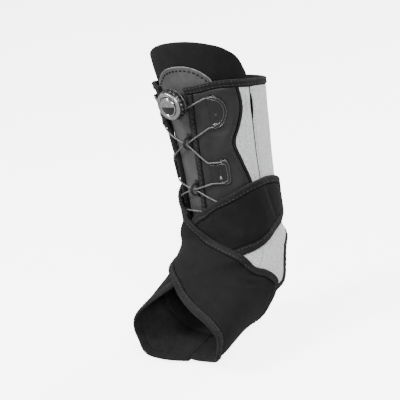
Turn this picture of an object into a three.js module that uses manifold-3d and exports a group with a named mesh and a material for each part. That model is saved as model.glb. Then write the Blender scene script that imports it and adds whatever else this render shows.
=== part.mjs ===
import * as THREE from 'three';
import { mergeVertices, toCreasedNormals } from 'three/addons/utils/BufferGeometryUtils.js';
import Module from 'manifold-3d';

// A worn ankle brace for a right foot, in millimetres.
// +Z runs up the shin, the toes point to -Y, and +X is the inner (medial) side.
// The origin is the centre of the ankle. Every wall follows one form of leg and foot,
// addressed by a turn in degrees (0 in front, 90 on the inner side) and a station
// that runs from the shin (0) over the ankle to the ball of the foot (1.2).

// Driving sizes of the form
const legTop = 200;
const soleDrop = 66;
const toeReach = 111;
const heelReach = 30;
const legWidth = 82;

// Wall thicknesses
const tongueWall = 2.5;
const padWall = 1.2;
const shellWall = 2.2;
const sleeveWall = 2.5;
const wingWall = 2.2;
const tapeExtra = 0.7;

// Gaps between layers, and between the edges of neighbours
const layerGap = 0.4;
const seamGap = 0.35;
const footGap = 0.7;
const wingGap = 0.85;

// Widths of the edge bindings
const wingTape = 6;
const topTape = 5.5;
const frontTape = 5;
const pipingTape = 2.4;
const heelTape = 3.2;

// Lace, loops and guides
const laceWidth = 1.3;
const laceClear = 0.35;
const laceSides = 6;
const laceStep = 9;
const laceStart = 10.8;
const loopHeight = 11;
const loopRise = 7.9;
const loopTape = 1.3;
const loopWide = 3;
const guidePlate = 0.5;
const guideWall = 1.2;
const rimStart = 0.12;
const guideCols = 8;
const grooveSlope = 0.15;
const crescentHeight = 28;
const crescentWidth = 14.2;
const rectHeight = 21;
const rectWidth = 15;
const lowerHeight = 13;
const lowerWidth = 9;

// Dial
const baseRadius = 11.5;
const baseHeight = 5.2;
const baseFlange = 1.6;
const spigotRadius = 8;
const knobRadius = 12.4;
const faceRadius = 10.6;
const knobHeight = 6.4;
const gripHeight = 3.6;
const gripShare = 3;
const hubRadius = 7.6;
const hubDome = 1;
const capSink = 1.8;
const spindleRadius = 4;
const runningGap = 0.3;
const ribCount = 20;
const ribDepth = 0.5;

// Sections of the form. Y and Z are shares of the reach and height on their side
// of the origin, halfWidth is a share of legWidth, and middle says how far along
// the section, from front to back, it is widest.
const sectionColumns = ['at', 'frontY', 'frontZ', 'backY', 'backZ', 'halfWidth', 'middle'];
const sections = [
  [0.00, -0.432, 1.000, 1.000, 1.000, 0.500, 0.470],
  [0.15, -0.450, 0.825, 0.833, 0.825, 0.482, 0.480],
  [0.36, -0.374, 0.550, 0.767, 0.550, 0.415, 0.490],
  [0.50, -0.333, 0.330, 0.733, 0.330, 0.372, 0.490],
  [0.60, -0.320, 0.205, 0.683, 0.155, 0.366, 0.500],
  [0.65, -0.315, 0.163, 0.700, 0.065, 0.372, 0.500],
  [0.70, -0.320, 0.120, 0.967, -0.091, 0.384, 0.460],
  [0.80, -0.360, 0.040, 0.833, -0.667, 0.390, 0.420],
  [0.90, -0.450, -0.045, -0.153, -0.803, 0.384, 0.460],
  [1.00, -0.577, -0.197, -0.468, -0.833, 0.409, 0.480],
  [1.10, -0.757, -0.379, -0.721, -0.924, 0.439, 0.480],
  [1.20, -1.000, -0.561, -0.973, -1.000, 0.463, 0.480],
];
const roundness = 0.92;

// A wing of the figure of eight, by its turn from the crossing over the instep:
// negative towards its free end at the ankle, positive towards the sole.
const wingColumns = ['turn', 'top', 'bottom'];
const wing = [
  [-145, 0.560, 0.616],
  [-139, 0.545, 0.631],
  [-130, 0.537, 0.640],
  [-120, 0.531, 0.655],
  [-110, 0.527, 0.670],
  [-98, 0.525, 0.700],
  [-80, 0.530, 0.758],
  [-62, 0.544, 0.815],
  [-46, 0.562, 0.880],
  [-30, 0.586, 0.950],
  [-13, 0.635, 1.020],
  [3, 0.695, 1.070],
  [20, 0.768, 1.112],
  [40, 0.805, 1.138],
  [60, 0.824, 1.147],
  [79, 0.842, 1.149],
  [95, 0.829, 1.150],
  [111, 0.832, 1.160],
  [124, 0.868, 1.162],
  [140, 0.905, 1.150],
  [166, 0.934, 1.125],
  [194, 0.942, 1.115],
];
const wingMiddle = -14;
const wingTip = 3;

// Edges of the shells: the front edge and the back edge of each side by station.
const shellColumns = ['at', 'innerFront', 'innerBack', 'outerFront', 'outerBack'];
const shell = [
  [0.240, 14.0, 68.0, -24, -74],
  [0.280, 12.0, 71.0, -27, -77],
  [0.310, 10.0, 72.5, -30, -79],
  [0.350, 7.5, 71.0, -33, -78],
  [0.383, 6.2, 65.5, -31, -74],
  [0.418, 5.0, 57.5, -28.5, -68],
  [0.466, 3.0, 63.0, -29.5, -75],
  [0.527, 1.0, 71.5, -34, -82],
  [0.590, -1.0, 74.0, -42, -82],
  [0.720, -5.0, 74.0, -47, -82],
  [0.860, -5.0, 74.0, -47, -82],
];
const shellEnd = 0.72;
const shellMiddle = -4;

// Half of the heel opening, from its top at the back down to the sole.
const heelColumns = ['turn', 'at'];
const heel = [
  [180, 0.640],
  [150, 0.662],
  [124, 0.690],
  [108, 0.727],
  [106, 0.777],
  [113, 0.825],
  [113.5, 0.855],
  [126, 0.886],
  [150, 0.915],
  [180, 0.928],
];
const heelTopRow = 3;
const heelSideRow = 6;

// The seam of the sleeve behind each shell, on the inner side
const seamColumns = ['turn', 'at'];
const seam = [
  [86, 0.27],
  [84.5, 0.40],
  [85.5, 0.53],
  [91, 0.62],
  [99, 0.685],
];

// Top edge of the tongue and of its leather pad, by share of the half width.
const tongueColumns = ['share', 'tongue', 'pad'];
const tongueTop = [
  [-1.00, 0.250, 0.268],
  [-0.90, 0.204, 0.246],
  [-0.72, 0.165, 0.226],
  [-0.45, 0.136, 0.205],
  [0.00, 0.117, 0.193],
  [0.45, 0.133, 0.203],
  [0.72, 0.160, 0.222],
  [0.90, 0.198, 0.243],
  [1.00, 0.245, 0.268],
];
const bodyColumns = ['at', 'middle', 'tongueHalf', 'padHalf'];
const tongueBody = [
  [0.12, 8, 80, 40],
  [0.27, 7, 80, 37],
  [0.42, 3, 64, 30],
  [0.55, -4, 58, 30],
  [0.71, -12, 54, 28],
];
const tongueEnd = 0.71;
const padEnd = 0.70;

// The top edge of the sleeve and its tape drops a little towards the back.
const bandColumns = ['turn', 'at'];
const band = [
  [10, 0.256],
  [20, 0.254],
  [45, 0.246],
  [63, 0.250],
  [95, 0.266],
  [130, 0.280],
  [180, 0.284],
  [230, 0.280],
  [265, 0.266],
  [297, 0.250],
  [315, 0.246],
  [336, 0.254],
];

// Where the sleeve meets the panels that wrap the foot, and where those end
const sleeveFoot = 0.853;
const instepTop = 0.735;
const instepTurns = [-80, 72];
const footEnd = 1.02;

// The dial, the loops and the guides: turn and station of each
const dialAt = [-1.5, 0.296];
const loopsAt = [[0, 0.410], [-4, 0.537]];
const lowerMiddle = -16.5;
const guideColumns = ['name', 'turn', 'at', 'middle', 'height', 'width', 'heel', 'corner', 'rise'];
const guides = [
  ['crescent_guide', 34, 0.332, -5.5, crescentHeight, crescentWidth, 1.2, 2, 2.5],
  ['rect_guide', 32, 0.489, -10.8, rectHeight, rectWidth, 6.5, 5, 2.2],
  ['lower_guide', 26, 0.607, lowerMiddle, lowerHeight, lowerWidth, 1.2, 3, 1.6],
];

// Layers, as distances from the form
const tongueIn = 0.3;
const tongueOut = tongueIn + tongueWall;
const padIn = tongueOut + layerGap;
const padOut = padIn + padWall;
const shellIn = padOut + layerGap;
const shellOut = shellIn + shellWall;
const stripOut = shellOut + tapeExtra;
const sleeveIn = tongueOut + layerGap;
const sleeveOut = sleeveIn + sleeveWall;
const laceLevel = stripOut + laceClear + laceWidth / 2;
const wingFloorBack = sleeveOut + wingGap;
const wingFloorFront = laceLevel + laceWidth / 2 + laceClear;
const wingStack = wingWall + tapeExtra + wingGap;
const guideSeat = shellOut + 0.35;
const laceLow = laceLevel - 0.2;
const laceHigh = laceLow + laceWidth + 0.5;

// Cubic through the rows of a table: all columns but the first, at one value of it.
function reader(rows) {
  const n = rows.length;
  const slope = rows.map((row, i) => {
    const before = rows[Math.max(i - 1, 0)];
    const after = rows[Math.min(i + 1, n - 1)];
    const h0 = row[0] - before[0];
    const h1 = after[0] - row[0];
    return row.map((value, c) => {
      const s0 = h0 ? (value - before[c]) / h0 : 0;
      const s1 = h1 ? (after[c] - value) / h1 : 0;
      if (!h0) return s1;
      if (!h1) return s0;
      return (s1 * h0 + s0 * h1) / (h0 + h1);
    });
  });
  return (x) => {
    let i = 0;
    while (i < n - 2 && x > rows[i + 1][0]) i += 1;
    const h = rows[i + 1][0] - rows[i][0];
    const t = (x - rows[i][0]) / h;
    const a = 2 * t ** 3 - 3 * t ** 2 + 1;
    const b = t ** 3 - 2 * t ** 2 + t;
    const c = 1 - a;
    const d = t ** 3 - t ** 2;
    return rows[i].map((value, k) => (
      a * value + b * h * slope[i][k] + c * rows[i + 1][k] + d * h * slope[i + 1][k]
    ));
  };
}

// The same cubic along a list of points, by row number.
const pathReader = (points) => {
  const read = reader(points.map((point, i) => [i, ...point]));
  return (t) => read(t * (points.length - 1)).slice(1);
};

const pick = (columns, row, name) => row[columns.indexOf(name)];
const smooth = THREE.MathUtils.smoothstep;
const readWing = reader(wing);
const readShell = reader(shell);
const readTongueTop = reader(tongueTop);
const readTongueBody = reader(tongueBody);
const readBand = reader(band);

// The sections in millimetres
const reach = (share, down, up) => share * (share < 0 ? down : up);
const readSection = reader(sections.map((row) => {
  const share = (name) => pick(sectionColumns, row, name);
  return [
    share('at'),
    reach(share('frontY'), toeReach, heelReach),
    reach(share('frontZ'), soleDrop, legTop),
    reach(share('backY'), toeReach, heelReach),
    reach(share('backZ'), soleDrop, legTop),
    share('halfWidth') * legWidth,
    share('middle'),
  ];
}));

// The point of the form at a turn and station, lifted off it by a distance.
function form(turn, at, lift) {
  const [, frontY, frontZ, backY, backZ, halfWidth, middle] = readSection(at);
  const front = new THREE.Vector2(frontY, frontZ);
  const back = new THREE.Vector2(backY, backZ);
  const depth = front.distanceTo(back);
  const ahead = front.clone().sub(back).divideScalar(depth);
  const spot = front.clone().addScaledVector(ahead, -depth * middle);
  const angle = THREE.MathUtils.degToRad(turn);
  const round = (x) => Math.sign(x) * Math.abs(x) ** roundness;
  const forward = Math.cos(angle);
  const far = depth * (forward >= 0 ? middle : 1 - middle);
  spot.addScaledVector(ahead, (far + lift) * round(forward));
  return new THREE.Vector3((halfWidth + lift) * round(Math.sin(angle)), spot.x, spot.y);
}

// Millimetres along the turn and the station at a place on the form.
function steps(turn, at, lift) {
  const here = form(turn, at, lift);
  const along = form(turn + 1, at, lift).sub(here);
  const down = form(turn, at + 0.005, lift).sub(here).divideScalar(0.005);
  return { along, down };
}

// The turn and station reached from a place by a small move along the form
function travel([turn, at], { along, down }, go) {
  const aa = along.dot(along);
  const ad = along.dot(down);
  const dd = down.dot(down);
  const ga = go.dot(along);
  const gd = go.dot(down);
  const det = aa * dd - ad * ad;
  return [turn + (ga * dd - gd * ad) / det, at + (gd * aa - ga * ad) / det];
}

// The place reached by going a across (to a larger turn) and b down.
function shift(here, a, b, lift) {
  const step = steps(...here, lift);
  const across = step.along.clone().normalize();
  const below = step.down.clone().addScaledVector(across, -step.down.dot(across)).normalize();
  return travel(here, step, across.multiplyScalar(a).addScaledVector(below, b));
}

// A lift is a number, or a function of the turn and station, and of the place on
// a wall's own grid.
const liftAt = (lift, ...spot) => (typeof lift === 'function' ? lift(...spot) : lift);

// A curve moved sideways over the form, to its right as seen from outside.
function inset(path, distance, height) {
  const tick = 0.004;
  return (t) => {
    const here = path(t);
    const before = path(Math.max(t - tick, 0));
    const after = path(Math.min(t + tick, 1));
    const step = steps(...here, liftAt(height, ...here));
    const ahead = step.along.clone().multiplyScalar(after[0] - before[0])
      .addScaledVector(step.down, after[1] - before[1]);
    const outwards = new THREE.Vector3().crossVectors(step.down, step.along);
    const sideways = new THREE.Vector3().crossVectors(ahead, outwards).setLength(distance);
    return travel(here, step, sideways);
  };
}

const line = (a, b) => (t) => [a[0] + (b[0] - a[0]) * t, a[1] + (b[1] - a[1]) * t];

// A place on the patch between four edges. Top and bottom run the same way, and
// left joins their starts and right their ends. The higher the hold, the sooner the
// shape of the left and right edges fades along the patch.
function between({ top, bottom, left, right, hold = 1 }) {
  const start = line(top(0), bottom(0));
  const end = line(top(1), bottom(1));
  const bend = (edge, straight, s, k) => (edge ? edge(s)[k] - straight(s)[k] : 0);
  return (t, s) => [0, 1].map((k) => (
    (1 - s) * top(t)[k] + s * bottom(t)[k]
      + (1 - t) ** hold * bend(left, start, s, k) + t ** hold * bend(right, end, s, k)
  ));
}

// A closed wall over a patch of the form, or over a loop of its places
function wall({ rows, cols, inner, outer, loop = false, ...edges }) {
  const { top, bottom } = edges;
  const across = (t, s) => [0, 1].map((k) => (1 - s) * top(t)[k] + s * bottom(t)[k]);
  const spot = edges.spot ?? (loop ? across : between(edges));
  const count = loop ? cols : cols + 1;
  const points = [];
  for (const lift of [inner, outer]) {
    for (let j = 0; j <= rows; j += 1) {
      for (let i = 0; i < count; i += 1) {
        const [t, s] = [i / cols, j / rows];
        const [turn, at] = spot(t, s);
        points.push(form(turn, at, liftAt(lift, turn, at, t, s)));
      }
    }
  }
  const layer = count * (rows + 1);
  const index = (k, j, i) => k * layer + j * count + (i % count);
  const faces = [];
  const quad = (a, b, c, d) => faces.push(a, b, c, a, c, d);
  for (let j = 0; j < rows; j += 1) {
    for (let i = 0; i < cols; i += 1) {
      quad(index(1, j, i), index(1, j + 1, i), index(1, j + 1, i + 1), index(1, j, i + 1));
      quad(index(0, j, i), index(0, j, i + 1), index(0, j + 1, i + 1), index(0, j + 1, i));
    }
  }
  for (let i = 0; i < cols; i += 1) {
    quad(index(1, 0, i), index(1, 0, i + 1), index(0, 0, i + 1), index(0, 0, i));
    quad(index(0, rows, i), index(0, rows, i + 1), index(1, rows, i + 1), index(1, rows, i));
  }
  for (let j = 0; j < rows && !loop; j += 1) {
    quad(index(0, j, 0), index(0, j + 1, 0), index(1, j + 1, 0), index(1, j, 0));
    quad(index(1, j, cols), index(1, j + 1, cols), index(0, j + 1, cols), index(0, j, cols));
  }
  const geometry = new THREE.BufferGeometry().setFromPoints(points);
  geometry.setIndex(faces);
  return outward(geometry);
}

// Faces turned to point out of the solid.
function outward(geometry) {
  const at = geometry.attributes.position;
  const index = geometry.index.array;
  const [a, b, c] = [0, 1, 2].map(() => new THREE.Vector3());
  let volume = 0;
  for (let i = 0; i < index.length; i += 3) {
    a.fromBufferAttribute(at, index[i]);
    b.fromBufferAttribute(at, index[i + 1]);
    c.fromBufferAttribute(at, index[i + 2]);
    volume += a.dot(b.cross(c));
  }
  if (volume < 0) {
    for (let i = 0; i < index.length; i += 3) {
      [index[i + 1], index[i + 2]] = [index[i + 2], index[i + 1]];
    }
  }
  return geometry;
}

// A tape laid along a curve, to its right.
const tape = (path, width, cols, inner, outer, loop = false) => wall({
  top: path, bottom: inset(path, width, outer), rows: 1, cols, inner, outer, loop,
});

// Shared vertices only, for joining and cutting
const wasm = await Module();
wasm.setup();
function bare(geometry) {
  const copy = geometry.clone();
  copy.deleteAttribute('normal');
  copy.deleteAttribute('uv');
  return mergeVertices(copy, 1e-4);
}
function solid(geometry) {
  const copy = bare(geometry);
  return new wasm.Manifold(new wasm.Mesh({
    numProp: 3,
    vertProperties: new Float32Array(copy.attributes.position.array),
    triVerts: new Uint32Array(copy.index.array),
  }));
}
function union(geometries) {
  const { vertProperties, triVerts } = geometries.map(solid).reduce((a, b) => a.add(b)).getMesh();
  const geometry = new THREE.BufferGeometry();
  geometry.setAttribute('position', new THREE.BufferAttribute(vertProperties, 3));
  geometry.setIndex(new THREE.BufferAttribute(triVerts, 1));
  return geometry;
}

const leather = { color: 0x3f4043, roughness: 0.55, metalness: 0 };
const neoprene = { color: 0x232427, roughness: 0.95, metalness: 0 };
const webbing = { color: 0x2b2c2f, roughness: 0.9, metalness: 0 };
const loopFabric = { color: 0xb9bac0, roughness: 0.95, metalness: 0 };
const hardPlastic = { color: 0x1c1d1f, roughness: 0.4, metalness: 0 };
const satinMetal = { color: 0xb8bac0, roughness: 0.3, metalness: 0.9 };
const laceFibre = { color: 0x8a8c90, roughness: 0.5, metalness: 0.2 };

const brace = new THREE.Group();
function add(name, geometry, look) {
  const mesh = new THREE.Mesh(toCreasedNormals(geometry, 0.6), new THREE.MeshStandardMaterial(look));
  mesh.name = name;
  brace.add(mesh);
  return mesh;
}

// Tongue and its leather pad, each half a width to both sides of a drifting middle
function tongueEdges(half, topColumn, end) {
  const edge = (share, at) => {
    const row = readTongueBody(at);
    return [pick(bodyColumns, row, 'middle') + share * pick(bodyColumns, row, half), at];
  };
  const topAt = (share) => pick(tongueColumns, readTongueTop(share), topColumn);
  const side = (share) => (s) => edge(share, topAt(share) + (end - topAt(share)) * s);
  return {
    top: (t) => edge(2 * t - 1, topAt(2 * t - 1)),
    bottom: (t) => edge(2 * t - 1, end),
    left: side(-1),
    right: side(1),
  };
}
function tongue() {
  const skin = tongueEdges('tongueHalf', 'tongue', tongueEnd);
  add('tongue', wall({ ...skin, rows: 10, cols: 12, inner: tongueIn, outer: tongueOut }), neoprene);
  const pad = tongueEdges('padHalf', 'pad', padEnd);
  add('tongue_pad', wall({ ...pad, rows: 10, cols: 8, inner: padIn, outer: padOut }), leather);
}

// The top tape lies over the shells in front and over the sleeve behind.
const aside = (turn) => Math.abs(THREE.MathUtils.euclideanModulo(turn + 180, 360) - 180);
const overSleeve = (turn) => smooth(aside(turn), 72, 95);
const bandPath = (t) => {
  const turn = band[0][0] + (band.at(-1)[0] - band[0][0]) * t;
  return [turn, pick(bandColumns, readBand(turn), 'at')];
};
function belowBand(turn) {
  const round = turn < band[0][0] - 5 ? turn + 360 : turn;
  const at = pick(bandColumns, readBand(round), 'at');
  return shift([turn, at], 0, topTape + seamGap, stripOut)[1];
}
function topBinding() {
  const blend = (front, back) => (turn) => front + (back - front) * overSleeve(turn);
  add('top_binding', tape(
    bandPath, topTape, 34, blend(shellIn, sleeveIn), blend(stripOut, sleeveOut + tapeExtra),
  ), webbing);
}

// A long edge of a shell, from below the top tape to a last station
function shellEdge(column, end) {
  const start = belowBand(pick(shellColumns, shell[1], column));
  const at = (s) => start + (end - start) * s;
  return (s) => [pick(shellColumns, readShell(at(s)), column), at(s)];
}

// One shell with its front strip and the piping on its back edge
function shellSide(name, frontColumn, backColumn, side) {
  const front = shellEdge(frontColumn, shellEnd);
  const back = shellEdge(backColumn, shellEnd);
  const towardsBack = (path, distance) => (t) => shift(path(t), side * distance, 0, shellOut);
  const shellFront = towardsBack(front, frontTape + seamGap);
  const shellBack = towardsBack(back, -pipingTape - seamGap);
  const head = (s) => {
    const turn = shellFront(0)[0] + (shellBack(0)[0] - shellFront(0)[0]) * s;
    return [turn, belowBand(turn)];
  };
  add(`${name}_shell`, wall({
    top: shellFront, bottom: shellBack, left: head, rows: 6, cols: 16, inner: shellIn, outer: shellOut,
  }), leather);
  add(`${name}_front_strip`, wall({
    top: front, bottom: towardsBack(front, frontTape), rows: 1, cols: 16, inner: shellIn, outer: stripOut,
  }), webbing);
  add(`${name}_back_piping`, wall({
    top: towardsBack(back, -pipingTape), bottom: back, rows: 1, cols: 16,
    inner: sleeveOut + seamGap, outer: shellOut + tapeExtra / 2,
  }), webbing);
}

// The heel opening's outline, once round from its top over the inner side
const heelRow = (row) => [pick(heelColumns, row, 'turn'), pick(heelColumns, row, 'at')];
const otherSide = ([turn, at]) => [360 - turn, at];
const heelHalf = heel.map(heelRow);
const heelRound = [...heelHalf, ...heelHalf.slice(0, -1).reverse().map(otherSide)];
const heelLoop = pathReader(heelRound);
const heelSteps = 2 * (heelRound.length - 1);
const around = Array.from({ length: heelSteps }, (_, i) => (
  inset(heelLoop, heelTape + seamGap, sleeveOut)(i / heelSteps)
));

// Straight pieces between points, for outlines with corners
const joined = (points) => (t) => {
  const i = Math.min(Math.floor(t * (points.length - 1)), points.length - 2);
  return line(points[i], points[i + 1])(t * (points.length - 1) - i);
};

// The sleeve behind the shells: a panel on each side, and one behind their seams
// that ends over the heel opening
const seamRow = (row) => [pick(seamColumns, row, 'turn'), pick(seamColumns, row, 'at')];
function sleeve() {
  const head = [seam[0][0], belowBand(seam[0][0])];
  const seamPath = pathReader([head, ...seam.slice(1).map(seamRow)]);
  const seamLine = Array.from({ length: 2 * seam.length - 1 }, (_, i) => (
    seamPath(i / (2 * seam.length - 2))
  ));
  const beside = (distance) => (point) => shift(point, distance, 0, sleeveOut);
  const heelSide = around.slice(2 * heelTopRow, 2 * heelSideRow);
  const corner = [around[2 * heelSideRow - 1][0], sleeveFoot];
  const whole = (point) => [point[0] - 360, point[1]];
  const mirrored = (points) => points.map(otherSide).map(whole);
  const panel = (name, column, side, seamed) => {
    const edge = shellEdge(column, sleeveFoot);
    const left = (s) => shift(edge(s), (-side * pipingTape) / 2, 0, sleeveOut);
    const right = joined(seamed);
    const top = (t) => {
      const turn = left(0)[0] + (right(0)[0] - left(0)[0]) * t;
      return [turn, belowBand(turn)];
    };
    add(name, wall({
      top, bottom: line(left(1), right(1)), left, right, rows: seamed.length - 1, cols: 4,
      inner: sleeveIn, outer: sleeveOut,
    }), loopFabric);
  };
  const inner = [...seamLine.map(beside(-seamGap / 2)), ...heelSide, corner];
  const backEdge = [...seamLine.map(beside(seamGap / 2)), heelSide[0]];
  panel('sleeve_inner_side', 'innerBack', 1, inner);
  panel('sleeve_outer_side', 'outerBack', -1, mirrored(inner));
  const left = joined(backEdge);
  const right = joined(backEdge.map(otherSide));
  const top = (t) => {
    const turn = left(0)[0] + (right(0)[0] - left(0)[0]) * t;
    return [turn, belowBand(turn)];
  };
  const over = around.slice(0, 2 * heelTopRow + 1).reverse();
  const bottom = joined([...over, ...over.slice(0, -1).reverse().map(otherSide)]);
  add('sleeve_back', wall({
    top, bottom, left, right, rows: backEdge.length - 1, cols: 4 * heelTopRow,
    inner: sleeveIn, outer: sleeveOut,
  }), loopFabric);
  add('heel_binding', tape(
    heelLoop, heelTape, heelSteps, sleeveIn, sleeveOut + tapeExtra / 2, true,
  ), webbing);
}

// Panels of the same cloth under the wings: over the instep and under the sole
function footPanels() {
  const [a, b] = instepTurns;
  add('instep_panel', wall({
    top: line([a, instepTop], [b, instepTop]), bottom: line([a, footEnd], [b, footEnd]),
    rows: 7, cols: 10, inner: sleeveIn, outer: sleeveOut,
  }), loopFabric);
  const start = shift([b, sleeveFoot], seamGap, seamGap, sleeveOut);
  const end = shift([a + 360, sleeveFoot], -seamGap, seamGap, sleeveOut);
  const side = around[2 * heelSideRow - 1];
  const under = around.slice(2 * heelSideRow, heelSteps + 1 - 2 * heelSideRow);
  const edge = (turn) => [turn, start[1]];
  const top = joined([
    start,
    edge((start[0] + side[0]) / 2),
    edge(side[0]),
    ...under,
    edge(otherSide(side)[0]),
    edge((end[0] + otherSide(side)[0]) / 2),
    [end[0], start[1]],
  ]);
  add('sole_panel', wall({
    top, bottom: line([start[0], footEnd], [end[0], footEnd]), rows: 4,
    cols: under.length + 5, inner: sleeveIn, outer: sleeveOut,
  }), loopFabric);
}

// Height of a wing over the pieces below it: laces in front, shells beside them
function wingFloor(turn, at) {
  const off = aside(turn - shellMiddle);
  const shellFloor = stripOut + layerGap;
  const beside = wingFloorBack + (shellFloor - wingFloorBack) * (1 - smooth(off, 80, 98));
  const lanes = 1 - smooth(aside(turn - lowerMiddle), 57, 75);
  const front = beside + (wingFloorFront - shellFloor) * lanes;
  return wingFloorBack + (front - wingFloorBack) * (1 - smooth(at, 0.73, 0.80));
}

// How far a place lies inside the other wing, in stations: negative outside it
function insideWing(turn, at, side) {
  const own = side * (turn - wingMiddle);
  if (own < wing[0][0]) return -1;
  const row = readWing(own);
  return Math.min(at - pick(wingColumns, row, 'top'), pick(wingColumns, row, 'bottom') - at);
}

// One wing with its edge tape. The inner-side one lies over the other.
function wingPiece(name, side, over) {
  const end = 180 - side * wingMiddle - 0.3;
  const rows = wing.filter(([turn]) => turn < end - 5);
  rows.push(readWing(end));
  const spot = (row, column) => [wingMiddle + side * row[0], pick(wingColumns, row, column)];
  const tip = (row) => [
    wingMiddle + side * (row[0] - wingTip),
    (pick(wingColumns, row, 'top') + pick(wingColumns, row, 'bottom')) / 2,
  ];
  const points = [
    ...rows.map((row) => spot(row, 'top')).reverse(),
    tip(rows[0]),
    ...rows.map((row) => spot(row, 'bottom')),
  ];
  const outline = pathReader(points);
  const floor = (turn, at) => {
    const lift = over ? smooth(insideWing(turn, at, -side), -0.085, -0.02) * wingStack : 0;
    return wingFloor(turn, at) + lift;
  };
  const roof = (extra) => (turn, at) => floor(turn, at) + wingWall + extra;
  const within = (distance) => {
    const path = inset(outline, -side * distance, roof(tapeExtra));
    return (t) => (t > 0 && t < 1 ? path(t) : [outline(t)[0], path(t)[1]]);
  };
  const cleared = within(wingTape + 2 * seamGap);
  const tapeSteps = 2 * (points.length - 1);
  const endSteps = 6;
  const cols = (tapeSteps - endSteps) / 2;
  add(name, wall({
    top: (t) => cleared((cols * t) / tapeSteps),
    bottom: (t) => cleared(1 - (cols * t) / tapeSteps),
    right: (s) => cleared((cols + endSteps * s) / tapeSteps),
    hold: 2 * cols / 3,
    rows: endSteps,
    cols,
    inner: floor,
    outer: roof(0),
  }), neoprene);
  add(`${name}_binding`, wall({
    top: outline, bottom: within(wingTape), rows: 1, cols: tapeSteps, inner: floor, outer: roof(tapeExtra),
  }), webbing);
}

// An outline that bulges to one side between its top and bottom: the higher the
// corner, the squarer it is
const bulge = (width, half, corner) => (t) => {
  const angle = Math.PI * (0.5 - t);
  const power = (x) => Math.sign(x) * Math.abs(x) ** (2 / corner);
  return [width * power(Math.cos(angle)), half * power(Math.sin(angle))];
};
const groove = laceWidth + 2 * laceClear;
function guideOn(row, side) {
  const value = (name) => pick(guideColumns, row, name);
  const turn = value('turn');
  const centre = [side > 0 ? turn : 2 * value('middle') - turn, value('at')];
  const [heelLong, corner, rise] = ['heel', 'corner', 'rise'].map(value);
  const on = (path) => (t) => {
    const [x, y] = path(t);
    return shift(centre, side * x, -y, guideSeat);
  };
  const width = value('width') - heelLong;
  return { on, half: value('height') / 2, width, heelLong, corner, rise };
}
// A guide: a core and a rim on one plate, with the lace's groove between them. Its
// grid runs round the bulge, and from the straight back over the core to the rim.
function guidePiece(row, side, name) {
  const { on, half, width, heelLong, corner, rise } = guideOn(row, side);
  const core = guideWall + groove;
  const back = line([-heelLong, half - core], [-heelLong, core - half]);
  const rings = [core, core - grooveSlope, guideWall + grooveSlope, guideWall, 0];
  const ringPath = (less) => bulge(width - less, half - less, corner);
  const midway = (t) => line(back(t), ringPath(core)(t))(0.5);
  const paths = [back, midway, ...rings.map(ringPath)].map(on);
  const last = paths.length - 1;
  const low = [3, 4];
  const outer = (turn, at, t, s) => {
    const ring = Math.round(s * last);
    const cut = ring > low[1] && Math.abs(t - 0.5) > 0.5 - rimStart;
    return guideSeat + (low.includes(ring) || cut ? guidePlate : rise);
  };
  add(`${name}_${row[0]}`, wall({
    spot: (t, s) => paths[Math.round(s * last)](t), rows: last, cols: guideCols, inner: guideSeat, outer,
  }), hardPlastic);
}

// A loop of tape standing on the tongue pad for the lace to pass through
function lacingLoop(name, [turn, at]) {
  const arch = new THREE.Shape();
  const half = loopHeight / 2;
  arch.absellipse(0, 0, half, loopRise, 0, Math.PI, false);
  arch.absellipse(0, 0, half - loopTape, loopRise - loopTape, Math.PI, 0, true);
  const geometry = new THREE.ExtrudeGeometry(arch, {
    depth: loopWide, bevelEnabled: false, curveSegments: 6,
  });
  geometry.translate(0, 0, -loopWide / 2);
  const mesh = add(name, bare(geometry), webbing);
  standOn(mesh, [turn, at], padOut + footGap);
}

// Sets an object on the form: its X up the leg, its Y outwards, its Z across
function standOn(object, [turn, at], lift) {
  const { along, down } = steps(turn, at, lift);
  const across = along.normalize();
  const outwards = new THREE.Vector3().crossVectors(down, across).normalize();
  const up = new THREE.Vector3().crossVectors(outwards, across);
  object.quaternion.setFromRotationMatrix(new THREE.Matrix4().makeBasis(up, outwards, across));
  object.position.copy(form(turn, at, lift));
}

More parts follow.
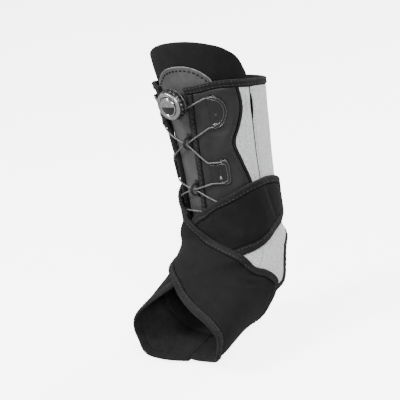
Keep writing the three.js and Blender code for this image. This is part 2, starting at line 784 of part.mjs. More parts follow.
// The lace, along the whole of its real run from one side of the dial to the other
class Run extends THREE.Curve {
  constructor(points) {
    super();
    this.points = points;
  }

  getPoint(t) {
    const i = Math.round(t * (this.points.length - 1));
    return this.points[i].clone();
  }

  getPointAt(t) {
    return this.getPoint(t);
  }

  getTangentAt(t) {
    const i = Math.round(t * (this.points.length - 1));
    const before = this.points[Math.max(i - 1, 0)];
    const after = this.points[Math.min(i + 1, this.points.length - 1)];
    return after.clone().sub(before).normalize();
  }
}
function lacePiece() {
  const lane = (row, side, turnBack) => {
    const { on, half, width, heelLong, corner } = guideOn(row, side);
    const less = guideWall + groove / 2;
    const mouth = (end) => on(() => [-heelLong - laceWidth, end * (half - less)])();
    const path = on(bulge(width - less, half - less, corner));
    const round = Array.from({ length: guideCols + 1 }, (_, i) => path(i / guideCols));
    const knots = [mouth(1), ...round, mouth(-1)].map((knot) => [...knot, laceLevel]);
    return turnBack ? knots.reverse() : knots;
  };
  const [crescent, rect, lower] = guides;
  const through = ([turn, at], lift) => [[turn, at, lift]];
  const leave = (side) => [[...shift(dialAt, side * laceStart, laceStart / 2, laceLevel), laceLevel]];
  const knots = [
    ...leave(1),
    ...lane(crescent, 1, false),
    ...through(loopsAt[0], laceLow),
    ...lane(rect, -1, false),
    ...through(loopsAt[1], laceLow),
    ...lane(lower, 1, false),
    ...lane(lower, -1, true),
    ...through(loopsAt[1], laceHigh),
    ...lane(rect, 1, true),
    ...through(loopsAt[0], laceHigh),
    ...lane(crescent, -1, true),
    ...leave(-1),
  ];
  const points = [];
  knots.slice(1).forEach((next, i) => {
    const last = knots[i];
    const count = Math.ceil(form(...last).distanceTo(form(...next)) / laceStep);
    for (let k = 0; k < count; k += 1) {
      points.push(form(...last.map((value, c) => value + ((next[c] - value) * k) / count)));
    }
  });
  points.push(form(...knots.at(-1)));
  const section = new THREE.Shape();
  section.absarc(0, 0, laceWidth / 2, 0, 2 * Math.PI);
  add('lace', bare(new THREE.ExtrudeGeometry(section, {
    steps: points.length - 1, extrudePath: new Run(points), curveSegments: laceSides / 2,
  })), laceFibre);
}

// The dial: a base on the tongue pad, a ribbed knob, and the hub it turns on
const lathe = (points, sides) => new THREE.LatheGeometry(
  points.map(([r, z]) => new THREE.Vector2(r, z)), sides,
);
function dial() {
  const group = new THREE.Group();
  standOn(group, dialAt, padOut + footGap);
  brace.add(group);
  const flange = baseHeight - baseFlange;
  const knobFoot = baseHeight + seamGap;
  const knobTop = knobFoot + knobHeight;
  const seat = knobTop - capSink;
  const base = add('dial_base', bare(lathe([
    [0, 0], [spigotRadius, 0], [spigotRadius, flange - 0.3], [baseRadius, flange],
    [baseRadius, baseHeight], [0, baseHeight],
  ], 24)), hardPlastic);
  const hub = add('dial_hub', bare(lathe([
    [0, knobFoot], [spindleRadius, knobFoot], [spindleRadius, seat], [hubRadius, seat],
    [hubRadius, knobTop + 0.2], [hubRadius * 0.7, knobTop + hubDome * 0.75], [0, knobTop + hubDome],
  ], 24)), satinMetal);
  const bore = spindleRadius + runningGap;
  const grip = new THREE.Shape();
  for (let i = 0; i < 2 * ribCount; i += 1) {
    const angle = (Math.PI * i) / ribCount;
    const radius = knobRadius - (i % 2 ? ribDepth : 0);
    grip[i ? 'lineTo' : 'moveTo'](radius * Math.cos(angle), radius * Math.sin(angle));
  }
  grip.holes.push(new THREE.Path().absarc(0, 0, bore + gripShare, 0, 2 * Math.PI, true));
  const ribs = new THREE.ExtrudeGeometry(grip, { depth: gripHeight, bevelEnabled: false, curveSegments: 10 });
  ribs.rotateX(-Math.PI / 2);
  ribs.translate(0, knobFoot, 0);
  const pocket = hubRadius + runningGap;
  const ring = lathe([
    [bore, knobFoot + 0.2], [knobRadius - 1, knobFoot + 0.2], [knobRadius - 1, knobFoot + gripHeight + 0.6],
    [faceRadius, knobTop - 0.5], [faceRadius - 0.5, knobTop], [pocket, knobTop],
    [pocket, seat - runningGap], [bore, seat - runningGap], [bore, knobFoot + 0.2],
  ], 24);
  const knob = add('dial_knob', union([ribs, ring]), hardPlastic);
  group.add(base, hub, knob);
}

tongue();
topBinding();
shellSide('inner', 'innerFront', 'innerBack', 1);
shellSide('outer', 'outerFront', 'outerBack', -1);
sleeve();
footPanels();
wingPiece('wing_under', -1, false);
wingPiece('wing_over', 1, true);
for (const row of guides) {
  guidePiece(row, 1, 'inner');
  guidePiece(row, -1, 'outer');
}
loopsAt.forEach((spot, i) => lacingLoop(`lacing_loop_${i + 1}`, spot));
dial();
lacePiece();

export default brace;
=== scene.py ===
import math

import bpy
import numpy as np
from mathutils import Matrix, Vector


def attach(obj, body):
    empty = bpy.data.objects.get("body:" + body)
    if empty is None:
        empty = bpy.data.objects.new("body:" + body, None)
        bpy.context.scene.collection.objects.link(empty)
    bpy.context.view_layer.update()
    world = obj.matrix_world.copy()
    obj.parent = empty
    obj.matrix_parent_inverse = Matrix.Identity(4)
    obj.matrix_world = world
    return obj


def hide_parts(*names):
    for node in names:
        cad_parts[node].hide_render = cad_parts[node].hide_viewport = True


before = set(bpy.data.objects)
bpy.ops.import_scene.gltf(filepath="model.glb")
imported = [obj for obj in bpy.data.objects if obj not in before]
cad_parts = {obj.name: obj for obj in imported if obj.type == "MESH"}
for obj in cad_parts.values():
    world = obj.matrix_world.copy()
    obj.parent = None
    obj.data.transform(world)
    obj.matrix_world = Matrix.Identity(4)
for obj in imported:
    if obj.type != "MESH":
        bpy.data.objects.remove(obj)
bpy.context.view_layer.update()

# Everything below is worked out in millimetres on one form of leg and foot: a turn
# in degrees (0 in front, 90 on the inner side) and a station (0 at the shin, 1.2 at
# the ball of the foot), lifted off the form by a distance.
MM = 0.001
LEG_TOP, SOLE_DROP, TOE_REACH, HEEL_REACH, LEG_WIDTH = 200, 66, 111, 30, 82
ROUNDNESS = 0.92
SECTIONS = [
    [0.00, -0.432, 1.000, 1.000, 1.000, 0.500, 0.470],
    [0.15, -0.450, 0.825, 0.833, 0.825, 0.482, 0.480],
    [0.36, -0.374, 0.550, 0.767, 0.550, 0.415, 0.490],
    [0.50, -0.333, 0.330, 0.733, 0.330, 0.372, 0.490],
    [0.60, -0.320, 0.205, 0.683, 0.155, 0.366, 0.500],
    [0.65, -0.315, 0.163, 0.700, 0.065, 0.372, 0.500],
    [0.70, -0.320, 0.120, 0.967, -0.091, 0.384, 0.460],
    [0.80, -0.360, 0.040, 0.833, -0.667, 0.390, 0.420],
    [0.90, -0.450, -0.045, -0.153, -0.803, 0.384, 0.460],
    [1.00, -0.577, -0.197, -0.468, -0.833, 0.409, 0.480],
    [1.10, -0.757, -0.379, -0.721, -0.924, 0.439, 0.480],
    [1.20, -1.000, -0.561, -0.973, -1.000, 0.463, 0.480],
]
WING = [
    [-145, 0.560, 0.616], [-139, 0.545, 0.631], [-130, 0.537, 0.640], [-120, 0.531, 0.655],
    [-110, 0.527, 0.670], [-98, 0.525, 0.700], [-80, 0.530, 0.758], [-62, 0.544, 0.815],
    [-46, 0.562, 0.880], [-30, 0.586, 0.950], [-13, 0.635, 1.020], [3, 0.695, 1.070],
    [20, 0.768, 1.112], [40, 0.805, 1.138], [60, 0.824, 1.147], [79, 0.842, 1.149],
    [95, 0.829, 1.150], [111, 0.832, 1.160], [124, 0.868, 1.162], [140, 0.905, 1.150],
    [166, 0.934, 1.125], [194, 0.942, 1.115],
]
WING_MIDDLE, WING_TIP = -14, 3
SHELL = [
    [0.240, 14.0, 68.0, -24, -74], [0.280, 12.0, 71.0, -27, -77], [0.310, 10.0, 72.5, -30, -79],
    [0.350, 7.5, 71.0, -33, -78], [0.383, 6.2, 65.5, -31, -74], [0.418, 5.0, 57.5, -28.5, -68],
    [0.466, 3.0, 63.0, -29.5, -75], [0.527, 1.0, 71.5, -34, -82], [0.590, -1.0, 74.0, -42, -82],
    [0.720, -5.0, 74.0, -47, -82], [0.860, -5.0, 74.0, -47, -82],
]
SHELL_END, SHELL_MIDDLE = 0.72, -4
HEEL = [
    [180, 0.640], [150, 0.662], [124, 0.690], [108, 0.727], [106, 0.777], [113, 0.825],
    [113.5, 0.855], [126, 0.886], [150, 0.915], [180, 0.928],
]
HEEL_TOP_ROW, HEEL_SIDE_ROW = 3, 6
SEAM = [[86, 0.27], [84.5, 0.40], [85.5, 0.53], [91, 0.62], [99, 0.685]]
TONGUE_TOP = [
    [-1.00, 0.250, 0.268], [-0.90, 0.204, 0.246], [-0.72, 0.165, 0.226], [-0.45, 0.136, 0.205],
    [0.00, 0.117, 0.193], [0.45, 0.133, 0.203], [0.72, 0.160, 0.222], [0.90, 0.198, 0.243],
    [1.00, 0.245, 0.268],
]
TONGUE_BODY = [
    [0.12, 8, 80, 40], [0.27, 7, 80, 37], [0.42, 3, 64, 30], [0.55, -4, 58, 30], [0.71, -12, 54, 28],
]
TONGUE_END, PAD_END = 0.71, 0.70
BAND = [
    [10, 0.256], [20, 0.254], [45, 0.246], [63, 0.250], [95, 0.266], [130, 0.280], [180, 0.284],
    [230, 0.280], [265, 0.266], [297, 0.250], [315, 0.246], [336, 0.254],
]
SLEEVE_FOOT, INSTEP_TOP, FOOT_END = 0.853, 0.735, 1.02
INSTEP_TURNS = (-80, 72)
WING_TAPE, TOP_TAPE, FRONT_TAPE, PIPING_TAPE, HEEL_TAPE = 6, 5.5, 5, 2.4, 3.2
SEAM_GAP, WING_GAP, LAYER_GAP, FOOT_GAP = 0.35, 0.85, 0.4, 0.7
WING_WALL, TAPE_EXTRA = 2.2, 0.7
TONGUE_IN, TONGUE_OUT = 0.3, 2.8
PAD_IN, PAD_OUT = 3.2, 4.4
SHELL_IN, SHELL_OUT, STRIP_OUT = 4.8, 7.0, 7.7
SLEEVE_IN, SLEEVE_OUT = 3.2, 5.7
LACE_WIDTH, LACE_CLEAR = 1.3, 0.35
LACE_LEVEL = STRIP_OUT + LACE_CLEAR + LACE_WIDTH / 2
LACE_LOW = LACE_LEVEL - 0.2
LACE_HIGH = LACE_LOW + LACE_WIDTH + 0.5
WING_FLOOR_BACK = SLEEVE_OUT + WING_GAP
WING_FLOOR_FRONT = LACE_LEVEL + LACE_WIDTH / 2 + LACE_CLEAR
WING_STACK = WING_WALL + TAPE_EXTRA + WING_GAP
GUIDE_SEAT = SHELL_OUT + 0.35
GUIDE_WALL, GUIDE_PLATE = 1.2, 0.5
GROOVE = LACE_WIDTH + 2 * LACE_CLEAR
DIAL_AT = (-1.5, 0.296)
LACE_START = 10.8
LOOPS_AT = [(0, 0.410), (-4, 0.537)]
LOWER_MIDDLE = -16.5
# name, turn, station, middle, height, width, heel, corner, rise
GUIDES = [
    ("crescent_guide", 34, 0.332, -5.5, 28, 14.2, 1.2, 2, 2.5),
    ("rect_guide", 32, 0.489, -10.8, 21, 15, 6.5, 5, 2.2),
    ("lower_guide", 26, 0.607, LOWER_MIDDLE, 13, 9, 1.2, 3, 1.6),
]
SIDES = (("inner", 1), ("outer", -1))
STATION_STEP, PATH_STEP = 0.005, 0.004
TOP_STITCH, SEAM_SINK = 1.3, 0.55


class Table:
    """Smooth curve through the rows of a table, all columns at a value of the first."""

    def __init__(self, rows):
        self.rows = np.array(rows, float)
        self.x = self.rows[:, 0]
        self.h = np.diff(self.x)
        rise = np.diff(self.rows, axis=0) / self.h[:, None]
        self.slope = np.empty_like(self.rows)
        self.slope[0], self.slope[-1] = rise[0], rise[-1]
        h0, h1 = self.h[:-1, None], self.h[1:, None]
        self.slope[1:-1] = (rise[1:] * h0 + rise[:-1] * h1) / (h0 + h1)

    def __call__(self, x):
        x = np.asarray(x, float)
        i = np.clip(np.searchsorted(self.x, x, side="right") - 1, 0, len(self.x) - 2)
        h = self.h[i][..., None]
        t = ((x - self.x[i])[..., None]) / h
        a = 2 * t**3 - 3 * t**2 + 1
        b = t**3 - 2 * t**2 + t
        value = a * self.rows[i] + b * h * self.slope[i]
        value = value + (1 - a) * self.rows[i + 1] + (t**3 - t**2) * h * self.slope[i + 1]
        return np.moveaxis(value[..., 1:], -1, 0)


def curve(points):
    """A smooth path through points, at 0 to 1."""
    table = Table([[i, *point] for i, point in enumerate(points)])
    return lambda t: tuple(table(np.asarray(t, float) * (len(points) - 1)))


def closed_curve(points):
    """A smooth closed path through points, whose last one is the first again."""
    count = len(points) - 1
    table = Table([[i, *points[i % count]] for i in range(-2, count + 3)])
    return lambda t: tuple(table(np.asarray(t, float) * count))


def straight(points):
    """A path of straight pieces through points, at 0 to 1."""
    pts = np.array(points, float)
    x = np.linspace(0, 1, len(pts))
    return lambda t: tuple(np.interp(t, x, pts[:, k]) for k in range(pts.shape[1]))


def millimetres(row):
    """A row of SECTIONS with its shares turned into millimetres."""
    at, *ends, half, middle = row
    minus, plus = (TOE_REACH, SOLE_DROP), (HEEL_REACH, LEG_TOP)
    scaled = [share * (minus if share < 0 else plus)[k % 2] for k, share in enumerate(ends)]
    return [at, *scaled, half * LEG_WIDTH, middle]


read_section = Table([millimetres(row) for row in SECTIONS])
read_wing = Table(WING)
read_shell = Table(SHELL)
read_tongue_top = Table(TONGUE_TOP)
read_tongue_body = Table(TONGUE_BODY)
read_band = Table(BAND)


def smooth(x, low, high):
    t = np.clip((np.asarray(x, float) - low) / (high - low), 0, 1)
    return t * t * (3 - 2 * t)


def bump(x, width):
    return np.exp(-((np.asarray(x, float) / width) ** 2))


def keep_sign(value, power):
    return np.sign(value) * np.abs(value) ** power


def form(turn, at, lift):
    """Points on the form, lifted off it, in millimetres."""
    turn, at, lift = np.broadcast_arrays(turn, at, lift)
    front_y, front_z, back_y, back_z, half, middle = read_section(at)
    dy, dz = front_y - back_y, front_z - back_z
    depth = np.hypot(dy, dz)
    c, s = np.cos(np.radians(turn)), np.sin(np.radians(turn))
    far = depth * np.where(c >= 0, middle, 1 - middle)
    go = ((far + lift) * keep_sign(c, ROUNDNESS) - depth * middle) / depth
    wide = (half + lift) * keep_sign(s, ROUNDNESS)
    return np.stack([wide, front_y + dy * go, front_z + dz * go], -1)


def steps(turn, at, lift):
    """The moves for one degree of turn and for one whole station."""
    here = form(turn, at, lift)
    along = form(np.asarray(turn) + 1.0, at, lift) - here
    down = (form(turn, np.asarray(at) + STATION_STEP, lift) - here) / STATION_STEP
    return along, down


def dot(a, b):
    return (a * b).sum(-1)


def unit(a):
    return a / np.maximum(np.linalg.norm(a, axis=-1, keepdims=True), 1e-9)


def travel(turn, at, along, down, go):
    aa, ad, dd = dot(along, along), dot(along, down), dot(down, down)
    ga, gd = dot(go, along), dot(go, down)
    det = aa * dd - ad * ad
    return turn + (ga * dd - gd * ad) / det, at + (gd * aa - ga * ad) / det


def shift(spot, a, b, lift):
    """The place reached by going a across and b down."""
    along, down = steps(*spot, lift)
    across = unit(along)
    below = unit(down - dot(down, across)[..., None] * across)
    go = across * np.asarray(a, float)[..., None] + below * np.asarray(b, float)[..., None]
    return travel(*spot, along, down, go)


def nudge(point, across, down=0.0, lift=SLEEVE_OUT):
    """A single place moved like that, as plain numbers."""
    spot = (np.float64(point[0]), np.float64(point[1]))
    return tuple(float(value) for value in shift(spot, across, down, lift))


def height(lift, turn, at):
    return lift(turn, at) if callable(lift) else np.full(np.shape(turn), float(lift))


def inset(path, distance, lift):
    """A path moved sideways, to its right as seen from outside."""

    def moved(t):
        t = np.asarray(t, float)
        here = path(t)
        back, ahead = path(np.maximum(t - PATH_STEP, 0)), path(np.minimum(t + PATH_STEP, 1))
        along, down = steps(*here, height(lift, *here))
        go = along * (ahead[0] - back[0])[..., None] + down * (ahead[1] - back[1])[..., None]
        sideways = unit(np.cross(go, np.cross(down, along))) * distance
        return travel(*here, along, down, sideways)

    return moved


def between(top, bottom, left=None, right=None, hold=1.0):
    """A place on the patch between four edges."""

    def spot(t, s):
        one, zero = np.ones_like(s), np.zeros_like(s)
        value = [(1 - s) * a + s * b for a, b in zip(top(t), bottom(t))]
        for edge, end, weight in ((left, zero, (1 - t) ** hold), (right, one, t**hold)):
            if edge is None:
                continue
            for k in range(2):
                flat = (1 - s) * top(end)[k] + s * bottom(end)[k]
                value[k] = value[k] + weight * (edge(s)[k] - flat)
        return value

    return spot


def mesh_object(name, verts, faces, materials, body="brace"):
    mesh = bpy.data.meshes.new(name)
    mesh.from_pydata((np.asarray(verts) * MM).tolist(), [], faces)
    for material in materials:
        mesh.materials.append(material)
    mesh.polygons.foreach_set("use_smooth", [True] * len(mesh.polygons))
    obj = bpy.data.objects.new(name, mesh)
    bpy.context.scene.collection.objects.link(obj)
    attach(obj, body)
    return obj


def nodes_in(count, length, radius, crowd=3):
    """Shares along an edge, crowded near both ends where the rim is rounded."""
    reach = min(radius / length, 0.3)
    near = np.linspace(0, 1, crowd + 1)[:-1] ** 1.6 * reach
    inner = np.linspace(reach, 1 - reach, count)
    return np.concatenate([near, inner, 1 - near[::-1]])


def full_turn(sides):
    return np.linspace(0, 2 * np.pi, sides, endpoint=False)


def wall_faces(rows, cols, loop=False, rim=0):
    """Faces of a closed wall over a grid of points, and the material slot of each."""
    layer, last = rows * cols, (rows - 1) * cols
    wide = cols if loop else cols - 1
    faces, kinds = [], []
    for j in range(rows - 1):
        for i in range(wide):
            a, b = j * cols + i, j * cols + (i + 1) % cols
            c, d = a + cols, b + cols
            faces += [(a, c, d, b), (layer + a, layer + b, layer + d, layer + c)]
            kinds += [rim if j > rows - 8 else 0, 1]
    for a in range(wide):
        b = (a + 1) % cols
        c, d = last + a, last + b
        faces += [(a, b, layer + b, layer + a), (c, layer + c, layer + d, d)]
        kinds += [rim, rim]
    for a in [] if loop else range(0, last, cols):
        b, c, d = a + cols - 1, a + cols, a + 2 * cols - 1
        faces += [(a, layer + a, layer + c, c), (b, d, layer + d, layer + b)]
        kinds += [rim, rim]
    return faces, kinds


def ring_faces(count, sides, flip=False):
    """Faces along a row of rings, with both ends capped, or the same the other way out."""
    faces = []
    for base in range(0, (count - 1) * sides, sides):
        for i in range(sides):
            a, b = base + i, base + (i + 1) % sides
            faces.append((a, a + sides, b + sides, b) if flip else (a, b, b + sides, a + sides))
    first, last = tuple(range(sides)), tuple(range((count - 1) * sides, count * sides))
    return faces + ([first, last[::-1]] if flip else [first[::-1], last])


def rings(centre, side, up, size, sides):
    """Points of an oval ring round each centre, as wide and high as side and up say."""
    angle = full_turn(sides)[None, :, None]
    ring = side[:, None] * np.cos(angle) + up[:, None] * np.sin(angle)
    return (centre[:, None] + ring * size[:, None, None]).reshape(-1, 3)


def patch(name, spot, inner, outer, skin, under, cell=2.0, radius=0.9, loop=False, relief=None,
          rim=0, square=""):
    """A closed wall with rounded rims over a patch of the form.

    relief takes turn, station and the millimetres from the left, right, top and
    bottom edges, and adds to the outer face. square names edges that stay sharp.
    """
    probe = np.linspace(0, 1, 60)
    middle = np.full_like(probe, 0.5)

    def length(spots):
        points = form(*spots, height(outer, *spots))
        return np.linalg.norm(np.diff(points, axis=0), axis=1).sum()

    long_t, long_s = length(spot(probe, middle)), length(spot(middle, probe))
    count_t, count_s = max(int(long_t / cell), 3), max(int(long_s / cell), 3)
    ts = np.linspace(0, 1, count_t + 1)[:-1] if loop else nodes_in(count_t, long_t, radius)
    ss = nodes_in(count_s, long_s, radius)
    turn, at = spot(*np.meshgrid(ts, ss))
    base = height(outer, turn, at)
    flat = form(turn, at, base)
    # Real distance of each point from the four edges, along the grid
    seg_t = np.linalg.norm(np.diff(flat, axis=1), axis=2)
    seg_s = np.linalg.norm(np.diff(flat, axis=0), axis=2)
    from_left = np.concatenate([np.zeros((len(ss), 1)), np.cumsum(seg_t, 1)], 1)
    from_top = np.concatenate([np.zeros((1, len(ts))), np.cumsum(seg_s, 0)], 0)
    from_right = from_left[:, -1:] - from_left
    from_bottom = from_top[-1:] - from_top
    edges = [from_top, from_bottom]
    edges += [] if loop or "left" in square else [from_left]
    edges += [] if loop or "right" in square else [from_right]
    edge = np.minimum.reduce(edges)
    drop = radius * (1 - np.sqrt(np.clip(1 - np.clip(1 - edge / radius, 0, 1) ** 2, 0, 1)))
    lift_out = base - drop
    if relief is not None:
        lift_out = lift_out + relief(turn, at, from_left, from_right, from_top, from_bottom)
    lift_in = height(inner, turn, at) + 0.45 * drop
    verts = np.concatenate([form(turn, at, lift).reshape(-1, 3) for lift in (lift_out, lift_in)])
    faces, kinds = wall_faces(*turn.shape, loop, rim)
    # Right way out: the volume decides
    halves = [verts[np.array([[face[k] for k in corners] for face in faces])]
              for corners in ((0, 1, 2), (0, 2, 3))]
    volume = sum((half[:, 0] * np.cross(half[:, 1], half[:, 2])).sum() for half in halves)
    if volume < 0:
        faces = [face[::-1] for face in faces]
    obj = mesh_object(name, verts, faces, [skin, under])
    obj.data.polygons.foreach_set("material_index", kinds)
    uv = obj.data.uv_layers.new(name="cloth")
    size = np.stack([from_left, from_top], -1).reshape(-1, 2)
    size = np.concatenate([size, size])
    loops = np.empty(len(obj.data.loops), int)
    obj.data.loops.foreach_get("vertex_index", loops)
    uv.data.foreach_set("uv", (size[loops] * MM).ravel())
    return obj


def tube(name, points, radius, material, sides=12, body="brace", flat=1.0, outward=None):
    """A round or flattened tube along points in millimetres, with capped ends."""
    pts = np.asarray(points, float)
    ahead = unit(np.gradient(pts, axis=0))
    if outward is None:
        up, seed = np.zeros_like(pts), np.array([0.0, 0.0, 1.0])
        for i, way in enumerate(ahead):
            seed = seed - way * seed.dot(way)
            if np.linalg.norm(seed) < 1e-6:
                seed = np.array([1.0, 0.0, 0.0]) - way * way[0]
            seed = seed / np.linalg.norm(seed)
            up[i] = seed
    else:
        up = np.array(outward, float)
    side = unit(np.cross(ahead, up))
    up = unit(np.cross(side, ahead))
    size = np.broadcast_to(np.asarray(radius, float), (len(pts),))
    verts = rings(pts, side, flat * up, size, sides)
    return mesh_object(name, verts, ring_faces(len(pts), sides), [material], body)


def on_place(place, points):
    turned = np.array(place.to_3x3())
    return np.asarray(points, float) @ turned.T + np.array(place.translation)


def lathe(name, profile, sides, material, place, foot=0.0, body="brace", ribs=None):
    """A turned piece: profile rows are radius and height over its foot."""
    angle = full_turn(sides)
    radius, level = np.array(profile, float).T[:, :, None] + np.zeros(sides)
    if ribs is not None:
        radius = radius + ribs(angle, level, radius)
    verts = np.stack([radius * np.cos(angle), level + foot, radius * np.sin(angle)], -1)
    faces = ring_faces(len(profile), sides, flip=True)
    return mesh_object(name, on_place(place, verts.reshape(-1, 3)), faces, [material], body)


# Materials
def linear(value):
    value = value / 255
    return value / 12.92 if value <= 0.04045 else ((value + 0.055) / 1.055) ** 2.4


def grey(value, warm=0.0):
    return (linear(value + warm), linear(value), linear(value - warm * 0.6))


def material(name, low, high, size, rough, metallic=0.0, sheen=0.0, coat=0.0, specular=0.5,
             grain=None, weave=None, rib=None, fuzz=None, edge_wear_and_highlight=0.0, edge=None):
    """A procedural material: mottled colour, with grain, weave, ribs or fuzz as bump."""
    mat = bpy.data.materials.new(name)
    mat.use_nodes = True
    nodes, links = mat.node_tree.nodes, mat.node_tree.links
    normal = None

    def feed(node, inputs):
        """Sets inputs to values, or links them to the output that is given."""
        for title, value in inputs.items():
            if isinstance(value, bpy.types.NodeSocket):
                links.new(value, node.inputs[title])
            else:
                node.inputs[title].default_value = value
        return node

    def add(kind, inputs):
        return feed(nodes.new("ShaderNode" + kind), inputs)

    def add_bump(value, strength, distance):
        nonlocal normal
        inputs = {"Strength": strength, "Distance": distance * MM, "Height": value}
        if normal is not None:
            inputs["Normal"] = normal
        normal = add("Bump", inputs).outputs["Normal"]

    def waves(direction, pitch, distortion):
        cloth = nodes.new("ShaderNodeUVMap")
        cloth.uv_map = "cloth"
        scale = 0.314 / (pitch * MM)
        wave = add("TexWave", {"Scale": scale, "Distortion": distortion, "Vector": cloth.outputs["UV"]})
        wave.bands_direction = direction
        return wave.outputs["Fac"]

    place = nodes.new("ShaderNodeTexCoord").outputs["Object"]
    noise = add("TexNoise", {"Scale": 1 / (size * MM), "Detail": 5, "Roughness": 0.6, "Vector": place})
    uneven = add("MapRange", {
        "To Min": max(rough - 0.07, 0.02), "To Max": min(rough + 0.07, 1), "Value": noise.outputs["Fac"],
    })
    mottle = add("ValToRGB", {"Fac": noise.outputs["Fac"]})
    for element, position, tone in zip(mottle.color_ramp.elements, (0.35, 0.65), (low, high)):
        element.position = position
        element.color = (*tone, 1)
    colour = mottle.outputs["Color"]
    # Lighter colour on pointy edges: worn edges on the leathers, and on the black plastic a painted
    # highlight along its rims.
    if edge_wear_and_highlight:
        rims = nodes.new("ShaderNodeNewGeometry").outputs["Pointiness"]
        rim_wear_and_highlight = add("MapRange", {"From Min": 0.52, "From Max": 0.62, "To Max": edge_wear_and_highlight, "Value": rims})
        mix = nodes.new("ShaderNodeMix")
        mix.data_type = "RGBA"
        tone = edge or [min(part * 2.2 + 0.02, 1) for part in high]
        feed(mix, {"Factor": rim_wear_and_highlight.outputs["Result"], "A": colour, "B": (*tone, 1)})
        colour = mix.outputs["Result"]
    shader = feed(nodes["Principled BSDF"], {
        "Base Color": colour, "Roughness": uneven.outputs["Result"], "Metallic": metallic,
        "Sheen Weight": sheen, "Sheen Roughness": 0.5, "Coat Weight": coat, "Coat Roughness": 0.15,
        "Specular IOR Level": specular,
    })
    if grain:
        cells = add("TexVoronoi", {"Scale": 1 / (grain * MM), "Vector": place})
        cells.feature = "DISTANCE_TO_EDGE"
        add_bump(cells.outputs["Distance"], 0.35, 0.25)
    if weave:
        product = nodes.new("ShaderNodeMath")
        product.operation = "MULTIPLY"
        for k, direction in enumerate("XY"):
            links.new(waves(direction, weave, 0.6), product.inputs[k])
        add_bump(product.outputs["Value"], 0.35, 0.22)
    if rib:
        add_bump(waves("X", rib, 0.4), 0.5, 0.3)
    if fuzz:
        fine = add("TexNoise", {"Scale": 1 / (fuzz * MM), "Detail": 8, "Roughness": 0.75, "Vector": place})
        add_bump(fine.outputs["Fac"], 0.5, 0.5)
    if normal is not None:
        links.new(normal, shader.inputs["Normal"])
    return mat


neoprene = material("neoprene", grey(13), grey(20), 9, 0.8, sheen=0.02, specular=0.16, weave=0.9, fuzz=0.7)
lining = material("lining", grey(22), grey(30), 6, 0.9, sheen=0.02, specular=0.1, weave=1.1)
leather = material("leather", grey(30), grey(40), 14, 0.46, specular=0.32, grain=0.9, edge_wear_and_highlight=0.2)
pad_leather = material("pad_leather", grey(58), grey(74), 14, 0.42, specular=0.4, grain=0.9, edge_wear_and_highlight=0.2)
tape_cloth = material("tape", grey(13), grey(25), 2.2, 0.72, sheen=0.03, specular=0.22, rib=1.1, fuzz=0.6)
strip_cloth = material("strip", grey(11), grey(30), 1.4, 0.7, sheen=0.02, specular=0.2, weave=1.3, fuzz=0.8)
loop_cloth = material("loop_cloth", grey(176, -1), grey(218, -1), 1.4, 0.97, sheen=0.3, specular=0.2,
                      fuzz=0.55)
thread = material("thread", grey(30), grey(62), 2, 0.6, specular=0.3)
dark_thread = material("dark_thread", grey(8), grey(14), 2, 0.7, specular=0.15)
pale_thread = material("pale_thread", grey(96), grey(128), 2, 0.55, specular=0.3)
grey_thread = material("grey_thread", grey(140), grey(176), 2, 0.7, specular=0.2)
# The plastic's light edge tone, grey(120), is a painted highlight along the rims of the guides and the
# dial.
plastic = material("plastic", grey(9), grey(15), 8, 0.24, specular=0.6, coat=0.3, edge_wear_and_highlight=0.7,
                   edge=grey(120), fuzz=1.6)
gloss = material("gloss", grey(7), grey(11), 8, 0.12, specular=0.6, coat=0.3)
chrome = material("chrome", grey(205), grey(225), 6, 0.15, metallic=1.0)
brushed = material("brushed", grey(150), grey(188), 2, 0.36, metallic=0.9)
lace_braid = material("lace_braid", grey(62), grey(116), 0.8, 0.36, metallic=0.1, specular=0.5, fuzz=0.5)
# Near-black, for painted shade in the seam gaps and in the pocket slits.
painted_gap_shade = material("painted_gap_shade", grey(5), grey(9), 2, 0.9, specular=0.05, fuzz=0.6)


def outward_at(turn, at, lift):
    along, down = steps(turn, at, lift)
    return unit(np.cross(down, along))


def stitches(name, path, lift, pitch=3.0, fill=0.66, thick=0.32, mat=thread, zigzag=0.0, start=0.0,
             end=1.0):
    """A row of real thread stitches along a path on the form, one short bead each."""
    t = np.linspace(start, end, 600)
    spots = path(t)
    points = form(*spots, height(lift, *spots))
    run = np.concatenate([[0], np.cumsum(np.linalg.norm(np.diff(points, axis=0), axis=1))])
    count = max(int(run[-1] / pitch), 1)
    step = run[-1] / count
    sides, bead = 6, np.linspace(-1, 1, 5)
    arch = np.sin(np.linspace(0, np.pi, len(bead)))
    bead_faces = ring_faces(len(bead), sides)
    verts, faces = [], []
    for k in range(count):
        share = np.interp((k + 0.5 + bead * fill / 2) * step, run, t)
        spot = path(share)
        if zigzag:
            sway = bead * zigzag * (1 if k % 2 else -1)
            moved = inset(path, 1.0, lift)(share)
            spot = [a + (b - a) * sway for a, b in zip(spot, moved)]
        level = height(lift, *spot) + thick * (1.1 * arch - 0.45)
        centre, up = form(*spot, level), outward_at(*spot, level)
        side = unit(np.cross(unit(np.gradient(centre, axis=0)), up))
        verts.append(rings(centre, 1.15 * side, up, thick * (0.35 + 0.65 * arch), sides))
        faces += [tuple(k * sides * len(bead) + corner for corner in face) for face in bead_faces]
    return mesh_object(name, np.concatenate(verts), faces, [mat])


def painted_seam_shade(name, path, lift, start=0.0, end=1.0, radius=0.34, count=160):
    """A near-black tube sunk in the gap between two pieces stitched edge to edge: painted shade in the
    seam.
    """
    turn, at = path(np.linspace(start, end, count))
    tube(name, form(turn, at, height(lift, turn, at) - SEAM_SINK), radius, painted_gap_shade, sides=8)


def wave_noise(turn, at, size, seed):
    """Soft unevenness, the same each run, from a few crossed waves on the form."""
    place = form(turn, at, 0.0) / size
    total = 0
    for k in range(5):
        phases = (math.sin(seed + 1.7 * k), math.cos(seed * 1.3 + 2.3 * k), math.sin(seed * 0.7 + 3.1 * k))
        total = total + np.sin(dot(place, np.array(phases) * (2 + 0.9 * k)) + seed * k)
    return total / 5


